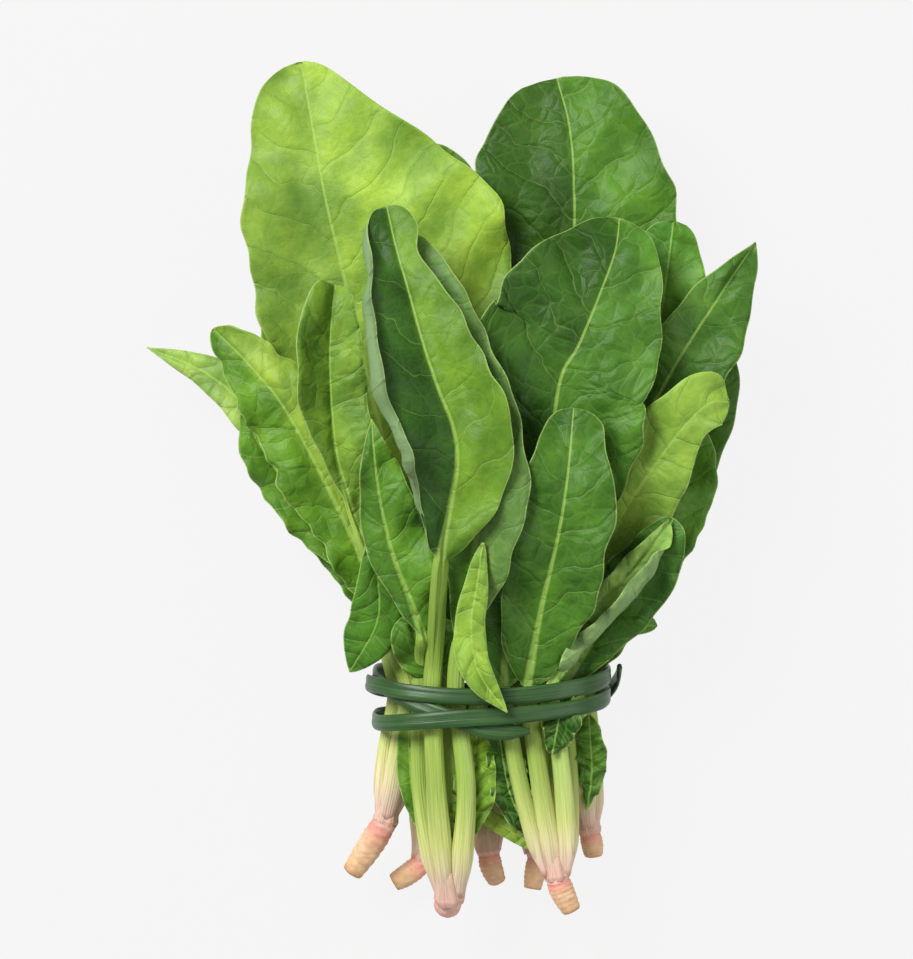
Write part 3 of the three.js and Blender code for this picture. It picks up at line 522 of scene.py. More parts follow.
class Leaf:
    """One leaf as a rib line and rules for what lies across it."""

    def __init__(self, entry, points, blade_from, slot_at, seed, greens):
        self.entry = entry
        self.line = RibLine(points, blade_from)
        self.has_stalk = slot_at > 0
        self.slot = self.line.reach(slot_at) if self.has_stalk else 0
        self.seed = seed
        self.greens = [linear(green)[:3] for green in greens]
        self.blush = PLANTS[entry["plant"]].get("blush", 1)
        blade = self.line.total - self.line.blade_start
        self.spacing = float(np.clip(blade / 7.5, 4.5, 15))

    def size(self, half, t, up):
        """Half width or half depth of the stalk, and of the rib from there to the tip."""
        foot = half["neck"] if self.has_stalk else half["tip"] * 2.2
        stalk = np.where(up < 0.35, mix(half["sheath"], half["middle"], up / 0.35),
                         mix(half["middle"], half["neck"], (up - 0.35) / 0.65))
        stalk = stalk * mix(0.5, 1, ease(up / 0.2))
        return np.where(t >= 0, mix(foot, half["tip"], np.clip(t, 0, 1) ** 0.3), stalk)

    def widths(self, s):
        """Share along the blade, rib half width, rib half depth, half widths and shape, per station."""
        line = self.line
        t = (s - line.blade_start) / (line.total - line.blade_start)
        up = s / max(1, line.blade_start)
        rib = self.size(STALK_WIDTH, t, up)
        depth = self.size(STALK_DEPTH, t, up)
        shape = []
        e = self.entry
        uneven = []
        for hand in (0, 1):
            one = outline(t, pick(e["widest"], hand), pick(e.get("foot"), hand, 1.3), pick(e["tip"], hand),
                          e.get("blunt", 0), e["wide"][hand], line.total - line.blade_start)
            shape.append(one)
            turn = self.seed + 2.2 * hand
            uneven.append(0.6 * np.sin(s * 0.19 + turn) + 0.35 * np.sin(s * 0.41 + 2.3 * turn)
                          + e.get("ragged", 0) * np.sin(s * 0.72 + turn) * np.sin(s * 0.13 + turn))
        shape = np.stack(shape, axis=1)
        uneven = np.stack(uneven, axis=1) * np.minimum(np.array(e["wide"]) / 14, 1.4)
        return t, rib, depth, np.maximum(rib[:, None], (np.array(e["wide"]) + uneven) * shape), shape

    def skin(self, s, q):
        """Middle, outward direction and flatness of the skin at stations s and places q, -1 to 1."""
        t, rib, depth, halves, shapes = self.widths(s)
        hand = (q > 0).astype(int)
        sign = np.where(q < 0, -1, 1)
        rows = np.arange(len(s))[:, None]
        half = halves[rows, hand]
        flat = np.minimum(1, shapes[rows, hand] * 2)
        tt = np.broadcast_to(np.clip(t, 0, 1)[:, None], q.shape)
        reach = np.abs(q)
        e = self.entry

        def both(rule):
            return np.where(hand == 0, rule(0), rule(1))

        fold = both(lambda h: along(pick(e.get("fold"), h), tt))
        curl = both(lambda h: along(pick(e.get("curl"), h), tt))
        crease_at = both(lambda h: pick(e.get("crease"), h, (1, 0, 1))[0])
        bent = both(lambda h: pick(e.get("crease"), h, (1, 0, 1))[1])
        until = both(lambda h: pick(e.get("crease"), h, (1, 0, 1))[2])
        crease = bent * (1 - ease((tt - until) / 0.16))
        out = np.zeros_like(q)
        rise = np.zeros_like(q)
        for k in range(BEND_STEPS):
            here = (k + 0.5) / BEND_STEPS * reach
            angle = np.radians((fold + curl * here + crease * ease((here - crease_at + 0.12) / 0.24)) * flat)
            out += np.cos(angle) * half * reach / BEND_STEPS
            rise += np.sin(angle) * half * reach / BEND_STEPS
        height, count, start = e.get("wave", (0, 1, 0))
        wave = np.sin(2 * math.pi * count * tt + start + hand * 2)
        frill = np.sin(2 * math.pi * count * 2.1 * tt + 1.9 * start + hand * 1.3 + self.seed)
        ripple = height * flat * (1.2 * q * q * wave + 0.45 * q**4 * frill)
        u = reach * half
        from_foot = (s - self.line.blade_start)[:, None] + np.zeros_like(q)
        phase = vein_phase(u, from_foot, self.spacing, hand, self.seed)
        relief = flat * blade_relief(u, from_foot, reach, phase, self.spacing, self.seed + 2 * hand,
                                     e.get("pucker", PUCKER))
        tangent = unit(self.line.sample(self.line.tangent, s))
        side = unit(self.line.sample(self.line.side, s))
        normal = np.cross(side, tangent)
        centre = self.line.sample(self.line.at, s)
        middle = (centre[:, None] + side[:, None] * (sign * out)[..., None]
                  + normal[:, None] * (rise + ripple)[..., None])
        skin = (normal[:, None] * np.cos(angle)[..., None]
                - side[:, None] * (sign * np.sin(angle))[..., None])
        middle = middle + skin * relief[..., None]
        round_rib = np.sqrt(np.clip(1 - (u / rib[:, None]) ** 2, 0, 1))
        thick = mix(BLADE_THICK, MARGIN_THICK, ease((reach - 0.8) / 0.2)) / 2
        blade = thick * np.where(t[:, None] >= 0, 1, round_rib)
        sunk = np.clip(t * 8, 0, 1)[:, None]
        stands = np.maximum(0, depth[:, None] * round_rib - blade)
        groove = 0.3 * sunk * np.exp(-((u / 0.9) ** 2)) * flat
        return dict(middle=middle, skin=skin, above=blade + stands * (1 - sunk) - groove,
                    below=blade + stands * (1 + 0.4 * sunk), u=u, half=half, flat=flat,
                    rib=u / rib[:, None], from_foot=from_foot)


# %% [markdown]
# ## Laying the bunch down
# A real bunch is a pile: each leaf rests on those under it. A height map over the table, in cells of
# a millimetre, remembers how high the pile is. Each new leaf is lifted where it would cut into the
# pile, and the lift spreads smoothly over the leaf, the way a soft blade would bend.

# %% Pile
CELLS = 420
ACROSS = np.array([-1, -0.6, -0.12, 0, 0.12, 0.6, 1])
PAST_SLOT = 9  # a stalk is held for this far past the middle of the tie, and is then free to be lifted
OVER_TABLE = 0.15
SPREAD_ROUNDS = 120
SPREAD_FADE = 0.985  # share of a lift that is left one knot away
pile = np.zeros((CELLS, CELLS))


def cell_of(points):
    x = np.clip(np.rint(points[..., 0]).astype(int) + CELLS // 2, 1, CELLS - 2)
    y = np.clip(np.rint(points[..., 1]).astype(int) + CELLS // 2, 1, CELLS - 2)
    return x, y


def smooth_between(knots, values, at):
    """Smooth values at places `at`, for rows of values that are known at uneven knots."""
    k = np.clip(np.searchsorted(knots, at, side="right") - 1, 0, len(knots) - 2)
    rows = np.arange(len(values))[:, None]
    slopes = np.gradient(values, knots, axis=1)
    step = knots[k + 1] - knots[k]
    f = np.clip((at - knots[k]) / step, 0, 1)
    a, b = values[rows, k], values[rows, k + 1]
    rise, end = slopes[rows, k] * step, slopes[rows, k + 1] * step
    return (a * (2 * f**3 - 3 * f**2 + 1) + rise * (f**3 - 2 * f**2 + f)
            + b * (3 * f**2 - 2 * f**3) + end * (f**3 - f**2))


def relax(lift, need, fixed):
    """Spreads the lift from where it is needed; the first `fixed` rows stay down."""
    for _ in range(SPREAD_ROUNDS):
        spread = np.pad(lift, 1)
        there = np.pad(np.ones_like(lift), 1)
        total = spread[:-2, 1:-1] + spread[2:, 1:-1] + spread[1:-1, :-2] + spread[1:-1, 2:]
        count = there[:-2, 1:-1] + there[2:, 1:-1] + there[1:-1, :-2] + there[1:-1, 2:]
        lift = np.maximum(need, total / count * SPREAD_FADE)
        lift[:fixed] = 0
    return lift


def lay_down(leaf, s, q, skin):
    """The lift of every point of a leaf over the pile as it is now."""
    line = leaf.line
    blade = line.total - line.blade_start
    stalk = [0, leaf.slot * 0.5, leaf.slot + PAST_SLOT] if leaf.has_stalk else []
    knots = np.array(stalk + list(line.blade_start + blade * np.linspace(0.02, 1, 11)))
    knots = knots[np.concatenate([[True], np.diff(knots) > 1.5])]
    where = line.sample(line.at, knots)
    fixed = int(np.sum(where[:, 1] < CLEAR_OF_TIE + 0.5)) if leaf.has_stalk else 0
    low = skin["middle"] - skin["skin"] * skin["below"][..., None]
    need = np.zeros((len(knots), len(ACROSS)))
    lift = np.zeros_like(need)
    i = np.clip(np.searchsorted(knots, s) - 1, 0, len(knots) - 2)[:, None] + np.zeros(q.shape, int)
    j = np.clip(np.searchsorted(ACROSS, q) - 1, 0, len(ACROSS) - 2)
    smooth = np.zeros(q.shape)
    for _ in range(3):
        x, y = cell_of(low)
        around = [pile[x + dx, y + dy] for dx in (-1, 0, 1) for dy in (-1, 0, 1)]
        height = np.max(around, axis=0)
        floor = np.where(height > 0, height + CLEARANCE, OVER_TABLE)
        short = np.where(low[..., 1] < CLEAR_OF_TIE, OVER_TABLE, floor) - low[..., 2] - smooth
        short = np.where((short > 0) & (i >= fixed - 1), short + smooth, 0)
        for di in (0, 1):
            for dj in (0, 1):
                np.maximum.at(need, (i + di, j + dj), short)
        lift = relax(lift, need, fixed)
        down_rows = smooth_between(knots, lift.T, np.broadcast_to(s, (len(ACROSS), len(s)))).T
        smooth = np.maximum(smooth_between(ACROSS, down_rows, q), 0)
    return smooth


def add_to_pile(top):
    """Marks the pile under the points and half way between them."""
    between = (top[1:] + top[:-1]) / 2
    for points in (top, between, (top[:, 1:] + top[:, :-1]) / 2, (between[:, 1:] + between[:, :-1]) / 2):
        x, y = cell_of(points)
        np.maximum.at(pile, (x, y), points[..., 2])


# %% [markdown]
# ## One leaf as a mesh
# A leaf starts as a grid primitive, one column for each place round its section and one row for each
# station from the crown to the tip. Moving the grid's points on to the upper and the lower skin rolls
# it up to a flat tube, and merging the doubles closes the margin and both ends. What the material
# has to know about a place, such as how far it is from a vein, is kept as attributes of the mesh.

# %% Leaf mesh
DM = 100  # UV maps are in decimetres, which keeps the scales of the patterns easy to read
YOUNG_FROM_CROWN = 26  # mm from the crown, as the stalk's colour counts it, where a young leaf starts
LOBE_FROM_CROWN = 106
STATION_GAP = 1.25  # from one row of points to the next along a blade
STALK_STATION_GAP = 2.6


def stations_of(leaf):
    line = leaf.line
    blade = line.total - line.blade_start
    count = int(np.clip(blade / STATION_GAP, 22, 100))
    t = np.linspace(0, 1, count)
    t = mix(t, (1 - np.cos(math.pi * t)) / 2, 0.35)
    stalk = np.linspace(0, line.blade_start, max(2, int(line.blade_start / STALK_STATION_GAP)))[:-1]
    first = list(stalk) if leaf.has_stalk else []
    return np.array(first + list(line.blade_start + blade * np.clip(t, 0.001, 0.9995)))


def columns_of(leaf, s):
    """Places across the leaf: a few over the rib, the others out to the margin."""
    _, rib, _, halves, shapes = leaf.widths(s)
    many = int(np.clip(max(leaf.entry["wide"]) * 0.85, 9, 26))
    over = 5
    share = np.arange(1, many + 1) / many
    sides = []
    for hand in (0, 1):
        part = np.minimum(rib / halves[:, hand], 0.9)[:, None]
        c = np.arange(1, many + 1)[None, :]
        blade = np.where(c <= over, part * c / over, part + (1 - part) * (c - over) / (many - over))
        stalk = np.sin(math.pi / 2 * share)[None, :]
        sides.append(mix(stalk, blade, ease(shapes[:, hand] * 4)[:, None]))
    return np.concatenate([-sides[0][:, ::-1], np.zeros((len(s), 1)), sides[1]], axis=1)


def grid_object(name, rows, columns):
    bpy.ops.object.select_all(action="DESELECT")
    bpy.ops.mesh.primitive_grid_add(x_subdivisions=columns - 1, y_subdivisions=rows - 1, size=1)
    made = bpy.context.object
    made.name = name
    made.data.name = name
    return made


def in_frame(points):
    """Places of the sketch in metres in the frame, none of them under the table."""
    place = ((points + SHIFT) * MM).reshape(-1, 3)
    place[:, 2] = np.maximum(place[:, 2], 0.1 * MM)
    return place


def keep_attribute(mesh, name, values):
    mesh.attributes.new(name, "FLOAT", "POINT").data.foreach_set("value", values.ravel())


def keep_uv(mesh, name, u, v):
    """Writes two values of each corner of each face as a UV map."""
    layer = mesh.uv_layers.new(name=name)
    layer.data.foreach_set("uv", np.stack([u, v], axis=1).ravel())


def vertex_of_corners(mesh):
    corner = np.zeros(len(mesh.loops), dtype=np.int32)
    mesh.loops.foreach_get("vertex_index", corner)
    return corner


def side_of_faces(corner, ring, wide):
    """For each corner, -1 where its face is left of the rib and 1 where it is right."""
    column = (corner % ring).reshape(-1, 4).mean(axis=1)
    over = np.where(column < wide, column, 2 * wide - 1 - column)
    return np.repeat(np.where(over < (wide - 1) / 2, -1, 1), 4)


MERGE_WITHIN = 0.000002  # metres


def close_skin(made):
    """Merges the doubles at the margin and the ends, and turns all faces out."""
    bpy.context.view_layer.objects.active = made
    bpy.ops.object.mode_set(mode="EDIT")
    bpy.ops.mesh.select_all(action="SELECT")
    bpy.ops.mesh.remove_doubles(threshold=MERGE_WITHIN)
    bpy.ops.mesh.normals_make_consistent(inside=False)
    bpy.ops.object.mode_set(mode="OBJECT")
    bpy.ops.object.shade_smooth()


# %% [markdown]
# ## What a leaf keeps
# The material draws the veins, the stalk's pink foot and the pale margin, so each point keeps how far
# it is from them: from the crown in decimetres, from the margin in millimetres, from the rib in half
# widths of the rib. The two UV maps hold the place on the blade and the place among the side veins.

# %% Leaf object
def leaf_object(leaf, name):
    s = stations_of(leaf)
    q = columns_of(leaf, s)
    skin = leaf.skin(s, q)
    young = name.startswith("young")
    lift = np.zeros(q.shape) if young else lay_down(leaf, s, q, skin)
    middle = skin["middle"].copy()
    middle[..., 2] += lift
    top = middle + skin["skin"] * skin["above"][..., None]
    low = middle - skin["skin"] * skin["below"][..., None]
    beyond = s > (leaf.slot + PAST_SLOT if leaf.has_stalk else -1)
    if not young and beyond.sum() > 1:
        add_to_pile(top[beyond])
    rows, wide = q.shape
    ring = 2 * wide + 1  # over the top from left to right, back underneath, and the first one again
    order = np.concatenate([np.arange(wide), np.arange(wide)[::-1], [0]])
    is_low = np.concatenate([np.zeros(wide), np.ones(wide), [0]])
    points = np.where(is_low[None, :, None] > 0, low[:, order], top[:, order])
    ends = [points[0].mean(axis=0), points[-1].mean(axis=0)]
    points = np.concatenate([np.broadcast_to(ends[0], (1, ring, 3)), points,
                             np.broadcast_to(ends[1], (1, ring, 3))])
    made = grid_object(name, rows + 2, ring)
    mesh = made.data
    mesh.vertices.foreach_set("co", in_frame(points).ravel())

    def spread(values):
        """The values in the mesh's own order, with a row more at both ends."""
        whole = np.concatenate([values[:1], values, values[-1:]])
        return whole[:, order]

    first = 0 if leaf.has_stalk else YOUNG_FROM_CROWN
    if leaf.entry.get("over_tie"):
        first = LOBE_FROM_CROWN
    from_crown = (np.broadcast_to(s[:, None], q.shape) + first) * leaf.blush
    keep_attribute(mesh, "from_crown", spread(from_crown) / DM)
    keep_attribute(mesh, "blade", spread(skin["flat"]))
    keep_attribute(mesh, "under", np.broadcast_to(is_low, (rows + 2, ring)))
    keep_attribute(mesh, "margin_mm", spread(skin["half"] - skin["u"]))
    keep_attribute(mesh, "rib", np.minimum(spread(skin["rib"]), 6))
    keep_attribute(mesh, "pucker", np.full((rows + 2, ring), float(leaf.entry.get("pucker", PUCKER))))
    greens = np.array(leaf.greens)
    blend = ease((np.sign(q) * np.minimum(skin["u"] / 2.0, 1) + 1) / 2)
    colour = greens[0] + (greens[1] - greens[0]) * spread(blend)[..., None]
    colour = np.concatenate([colour, np.ones(colour.shape[:2] + (1,))], axis=2)
    mesh.color_attributes.new("skin", "FLOAT_COLOR", "POINT").data.foreach_set("color", colour.ravel())

    corner = vertex_of_corners(mesh)
    u = np.sign(spread(q)) * spread(skin["u"])
    from_foot = spread(skin["from_foot"])
    keep_uv(mesh, "tissue", u.ravel()[corner] / DM, from_foot.ravel()[corner] / DM)
    left, right = [vein_phase(np.abs(u), from_foot, leaf.spacing, hand, leaf.seed) for hand in (0, 1)]
    face_side = side_of_faces(corner, ring, wide)
    phase = np.where(face_side < 0, left.ravel()[corner], right.ravel()[corner])
    keep_uv(mesh, "veins", phase, np.full(len(corner), leaf.spacing / DM))
    close_skin(made)
    return made


# %% [markdown]
# ## Stalks through the tie
# The stalk of each leaf is not in the leaf table: it is worked out from the plant's crown and the
# leaf's place in the tie, so a stalk always leaves its own crown and passes its own slot.

# %% Stalk line
USUAL_BOW = 3.8


def plant_middle(plant):
    slots = np.array([leaf["slot"] for leaf in LEAVES if leaf["plant"] == plant], dtype=float)
    across, layer = slots.mean(axis=0)
    return TIE + [across, 0, layer * SLOT_ROW]


def stalk_points(leaf):
    """From the plant's crown to just past the tie, fanned out to the side of the leaf's slot."""
    plant = PLANTS[leaf["plant"]]
    crown = np.array(plant["crown"], dtype=float)
    slot = TIE + [leaf["slot"][0], 0, leaf["slot"][1] * SLOT_ROW]
    away = slot - plant_middle(leaf["plant"])
    away[1] = 0
    apart = np.linalg.norm(away)
    reach = min(1, apart / 8)  # a stalk in the middle of its plant goes straight up
    if apart > 0:
        away = away / apart
    foot = crown + (np.array(plant["root"][0]) - crown) * 0.85
    points = [foot + away * plant["thick"] * 0.42 * reach]
    points.append(crown + (slot - crown) * 0.1 + away * plant["thick"] * 0.68 * reach)
    points.append(crown + (slot - crown) * 0.5 + away * plant.get("bow", USUAL_BOW) * reach)
    points.append(slot)
    blade = np.array(leaf["rib"][0], dtype=float)
    if blade[1] > CLEAR_OF_TIE + 4:
        exit_point = slot + (blade - slot) * (CLEAR_OF_TIE - slot[1]) / (blade[1] - slot[1])
        exit_point[2] = slot[2] + (exit_point[2] - slot[2]) * 0.15
        points.append(exit_point)
    return [tuple(point) for point in points]


# %% [markdown]
# ## Growing the leaves
# The leaves are made in the order in which they lie, from the table up. The long lobes of two leaves
# are sheets of their own on the same rib foot.

# %% All leaves
grown = {plant: [] for plant in PLANTS}
for number, entry in enumerate(LEAVES):
    stalk = stalk_points(entry)
    leaf = Leaf(entry, stalk + entry["rib"], len(stalk), 3, number * 1.31, GREENS[entry["name"]])
    grown[entry["plant"]].append(leaf_object(leaf, entry["name"]))
    if "lobe" in entry:
        lobe = dict(entry["lobe"], name=entry["name"] + "_lobe", plant=entry["plant"], over_tie=True)
        sheet = Leaf(lobe, lobe["rib"], 0, 0, number * 1.31 + 0.5, LOBE_GREENS[entry["name"]])
        grown[entry["plant"]].append(leaf_object(sheet, lobe["name"]))
for number, entry in enumerate(YOUNG):
    leaf = Leaf(entry, entry["rib"], 0, 0, number * 2.1 + 0.7, GREENS[entry["name"]])
    grown[entry["plant"]].append(leaf_object(leaf, entry["name"]))
print("sheets", sum(len(sheets) for sheets in grown.values()))

# %% [markdown]
# ## Crowns
# The crown is the short swollen stem under the rosette. The stalks' feet wrap it like the skins of
# an onion, so it is fluted where they run into it. It is slim between the stalks, swells down to the
# root and narrows only at its very end, which reaches half a millimetre into the root. A grid
# primitive is rolled up into rings along the line of the crown, as with a leaf.

# %% Round bodies
def round_rings(centres, radii, sides, lobes=0, depth=0.0, facing=None):
    """Rings of points along a line, with a radius at each and an even fluting round it."""
    at = np.array(centres, dtype=float)
    rings = []
    for i, point in enumerate(at):
        on = unit(at[min(len(at) - 1, i + 1)] - at[max(0, i - 1)])
        if i == 0 and facing is not None:
            on = facing
        side = unit(np.cross(on, [0, 0, 1]))
        up = np.cross(side, on)
        turn = 2 * math.pi * np.arange(sides) / sides
        radius = radii[i] * (1 - depth * np.abs(np.sin(lobes * turn / 2)) ** 3)
        rings.append(point + radius[:, None] * (np.cos(turn)[:, None] * side + np.sin(turn)[:, None] * up))
    return np.array(rings)


def round_object(name, rings):
    """A grid that is rolled up on to the rings, with a flat cap at both ends."""
    count, sides, _ = rings.shape
    ring = sides + 1
    ends = [np.broadcast_to(rings[k].mean(axis=0), (1, sides, 3)) for k in (0, -1)]
    points = np.concatenate([ends[0], rings, ends[1]])
    points = np.concatenate([points, points[:, :1]], axis=1)
    made = grid_object(name, count + 2, ring)
    made.data.vertices.foreach_set("co", in_frame(points).ravel())
    return made


def fine_line(points, radii, pieces):
    """A smooth line through the points, and a radius at each step of it."""
    line = smooth_line(points, pieces)
    share = np.linspace(0, 1, len(line))
    return line, np.interp(share, np.linspace(0, 1, len(radii)), radii)


CROWN_SIDES = 56


def crown_object(plant):
    spec = PLANTS[plant]
    at = np.array(spec["crown"], dtype=float)
    down = np.array(spec["root"][0], dtype=float) - at
    length = np.linalg.norm(down) + 0.5
    down = unit(down)
    up = unit(plant_middle(plant) - at)
    points = [at + up * 10, at + up * 5, at, at + down * length * 0.5, at + down * length * 0.82]
    points.append(at + down * length)
    radii = np.array([0.15, 0.28, 0.42, 0.52, 0.6, 0.54]) * spec["thick"]
    line, radius = fine_line(points, radii, 7)
    flutes = sum(1 for leaf in LEAVES if leaf["plant"] == plant) + 2
    made = round_object(f"plant_{plant}_crown", round_rings(line, radius, CROWN_SIDES, flutes, 0.1))
    mesh = made.data
    shape = (len(line) + 2, CROWN_SIDES + 1)
    up_line = np.linspace(0.10, -0.04, shape[0])[:, None] + np.zeros(shape)
    keep_attribute(mesh, "from_crown", up_line)
    for name, value in (("blade", 0), ("under", 0), ("margin_mm", 9), ("rib", 0.4), ("pucker", 0)):
        keep_attribute(mesh, name, np.full(shape, float(value)))
    green = np.broadcast_to(linear("#A9C85A"), shape + (4,))
    mesh.color_attributes.new("skin", "FLOAT_COLOR", "POINT").data.foreach_set("color", green.ravel())
    corner = vertex_of_corners(mesh)
    keep_uv(mesh, "tissue", (corner % shape[1]) / shape[1] * 0.4, (corner // shape[1]) / shape[0] * 0.3)
    keep_uv(mesh, "veins", np.zeros(len(corner)), np.zeros(len(corner)))
    close_skin(made)
    return made


for plant in PLANTS:
    grown[plant].append(crown_object(plant))

# %% [markdown]
# ## Roots
# The taproot is a tapered peg with faint rings and small scars of side roots, cut straight off. It
# is pale pink where it meets the crown, then red, then tan down to the cut, so the place along it is
# kept as an attribute. The root of plant 2 stays pale all the way, which its small `tan` does.

# %% Roots
ROOT_SIDES = 36


def root_object(plant):
    spec = PLANTS[plant]
    wide, thin = spec["root_radius"]
    facing = unit(np.array(spec["root"][0], dtype=float) - np.array(spec["crown"], dtype=float))
    line, radius = fine_line(spec["root"], [wide * 0.8, wide * 0.9, (wide + thin) / 2, thin], 12)
    radius = radius * (1 + 0.03 * np.sin(np.arange(len(radius)) * 1.9 + plant))
    radius[-1] *= 0.93
    made = round_object(f"plant_{plant}_taproot", round_rings(line, radius, ROOT_SIDES, 5, 0.05, facing))
    share = np.linspace(0, 1, len(line))
    whole = np.concatenate([[0], share, [1.25]]) * spec.get("tan", 1)
    keep_attribute(made.data, "down", whole[:, None] + np.zeros((len(whole), ROOT_SIDES + 1)))
    close_skin(made)
    return made


# %% [markdown]
# ## The grass blade
# The tie is one long hollow leaf of a chive-like grass, pressed flat by the pull. It goes round the
# stalks nearly three times, crosses itself at the left, and its end stands out at the right. Its
# section is a flat oval with a shallow valley where the hollow leaf caved in. It is a closed ring of
# points that is moved along a line round the stalks, as a curve with a bevel would be, but with the
# flat side always towards the stalks.

# %% Tie
GRASS_HALF_WIDE = 2.8
GRASS_THICK = 1.8
GRASS_LAYER = 2.3  # from one layer of grass to the next where it crosses itself
GRASS_STATIONS = 420
GRASS_SIDES = 28
GRASS_TAPER = 14  # stations over which the strip narrows to either end
# each row: degrees round the bundle from +X over the top, how far along the bunch from the middle of
# the tie, and how many layers of grass it lies on
GRASS_TURNS = [
    (76, -12, 0), (88, -12, 0), (102, -8.5, 0), (122, -4, 0), (148, 1.5, 0), (178, 6, 0),
    (225, 7.5, 0.1), (270, 8, 0.3), (315, 8, 0.1), (360, 6.5, 0), (400, 3, 0), (450, -0.5, 0),
    (490, 1, 0.8), (515, 3, 1), (540, 3.5, 1), (570, 1, 0.8), (600, 0, 0.2), (630, 0, 0.3),
    (675, 0, 0), (720, -0.5, 0), (745, -2.5, 0), (765, -4, 0.2), (785, -5.5, 0.3), (810, -7, 1),
    (838, -8.5, 1), (865, -9.5, 0.8), (885, -9.5, 0.2), (915, -8, 0), (990, -7.5, 0.3),
    (1035, -5.5, 0), (1052, -2.5, 0.6), (1064, 1.5, 1.1), (1074, 5.5, 1.5), (1081, 9, 1.6),
]


def bundle_point(degrees):
    """A point on the bundle's outline at an angle, with the outward direction there."""
    a = math.radians(degrees)

    def power(v):
        return math.copysign(abs(v) ** (2 / TIE_SQUARE), v)

    def steep(w, half):
        return math.copysign(abs(w) ** (TIE_SQUARE - 1), w) / half

    u, v = power(math.cos(a)), power(math.sin(a))
    out = unit(np.array([steep(u, TIE_HALF_WIDTH), 0, steep(v, TIE_HALF_DEPTH)]))
    return np.array([TIE[0] + u * TIE_HALF_WIDTH, TIE[1], TIE[2] + v * TIE_HALF_DEPTH]), out


def centripetal(points, count):
    """A Catmull-Rom line through uneven points that doesn't overshoot between near ones."""
    knots = np.array(points, dtype=float)
    knots = np.vstack([2 * knots[0] - knots[1], knots, 2 * knots[-1] - knots[-2]])
    time = np.concatenate([[0], np.cumsum(np.linalg.norm(np.diff(knots, axis=0), axis=1) ** 0.5)])
    line = []
    for share in np.linspace(0, 1, count):
        piece = share * (len(points) - 1)
        i = min(int(piece), len(points) - 2)
        t = time[i + 1] + (piece - i) * (time[i + 2] - time[i + 1])
        p, w = knots[i:i + 4], time[i:i + 4]
        first = [p[k] + (p[k + 1] - p[k]) * (t - w[k]) / (w[k + 1] - w[k]) for k in range(3)]
        second = [first[k] + (first[k + 1] - first[k]) * (t - w[k]) / (w[k + 2] - w[k]) for k in range(2)]
        line.append(second[0] + (second[1] - second[0]) * (t - w[1]) / (w[2] - w[1]))
    return np.array(line)


def tie_object():
    # an angle and a layer are scaled to weigh about as much as a millimetre does
    line = centripetal([(angle / 8, y, layer * 4) for angle, y, layer in GRASS_TURNS], GRASS_STATIONS)
    middle = []
    outward = []
    for x, y, z in line:
        at, out = bundle_point(x * 8)
        middle.append(at + out * (GRASS_THICK / 2 + z / 4 * GRASS_LAYER) + [0, y, 0])
        outward.append(out)
    middle = np.array(middle)
    on = unit(np.gradient(middle, axis=0))
    across = unit(np.cross(on, np.array(outward)))
    out = np.cross(across, on)
    turn = 2 * math.pi * np.arange(GRASS_SIDES) / GRASS_SIDES
    u = np.sign(np.cos(turn)) * np.abs(np.cos(turn)) ** 0.85
    v = np.sin(turn) * 0.5
    valley = 0.16 * np.exp(-((u - 0.15) / 0.35) ** 2) * np.where(v > 0, 1, 0)
    station = np.arange(len(line))[:, None]
    ends = np.minimum(1, np.minimum(station, station[::-1]) / GRASS_TAPER + 0.35)
    width = GRASS_HALF_WIDE * ends * (1 + 0.04 * np.sin(station * 0.11))
    sway = 0.06 * np.sin(station * 0.23 + 2 * u[None])
    rings = (middle[:, None] + across[:, None] * (width * u)[..., None]
             + out[:, None] * ((v - valley + sway * (v > 0)) * GRASS_THICK)[..., None])
    made = round_object("tie_strip", rings)
    mesh = made.data
    corner = vertex_of_corners(mesh)
    far = np.concatenate([[0], np.cumsum(np.linalg.norm(np.diff(middle, axis=0), axis=1))])
    far = np.concatenate([far[:1], far, far[-1:]])
    across_strip = np.concatenate([u, u[:1]]) * GRASS_HALF_WIDE
    ring = GRASS_SIDES + 1
    keep_uv(mesh, "fibre", across_strip[corner % ring] / DM, far[corner // ring] / DM)
    close_skin(made)
    print("strip", round(float(far[-1])), "mm long")
    return made


# %% [markdown]
# ## Materials
# Every material is worked out from what the surface is. One function adds a node with its settings
# and its links, so that a material reads as a list of what is laid over what.

# %% Node helper
BLEND = {"data_type": "RGBA"}  # settings of a Mix node that lays one colour over another
MULTIPLY = {"data_type": "RGBA", "blend_type": "MULTIPLY"}
SMOOTH = {"interpolation_type": "SMOOTHSTEP"}  # settings of a Map Range node with soft ends


def new_material(name):
    material = bpy.data.materials.new(name)
    material.use_nodes = True
    tree = material.node_tree
    tree.nodes.clear()
    output = tree.nodes.new("ShaderNodeOutputMaterial")
    return material, tree, output


def node(tree, kind, inputs=(), **settings):
    """Adds a node with its settings and its inputs.

    Inputs are given by name, or as a list in the order of the sockets in use. Each one is a value, or
    a node or an output to link from."""
    made = tree.nodes.new("ShaderNode" + kind)
    for name, value in settings.items():
        setattr(made, name, value)
    if isinstance(inputs, dict):
        pairs = [(made.inputs[name], value) for name, value in inputs.items()]
    else:
        pairs = zip([socket for socket in made.inputs if socket.enabled], inputs)
    for socket, value in pairs:
        if isinstance(value, bpy.types.Node):
            value = next(output for output in value.outputs if output.enabled)
        if isinstance(value, bpy.types.NodeSocket):
            tree.links.new(value, socket)
        else:
            socket.default_value = value
    return made


def colour_stops(ramp, stops):
    """Gives a colour ramp its places and hex colours."""
    elements = ramp.color_ramp.elements
    while len(elements) < len(stops):
        elements.new(0.5)
    for element, (place, colour) in zip(elements, stops):
        element.position = place
        element.color = linear(colour)


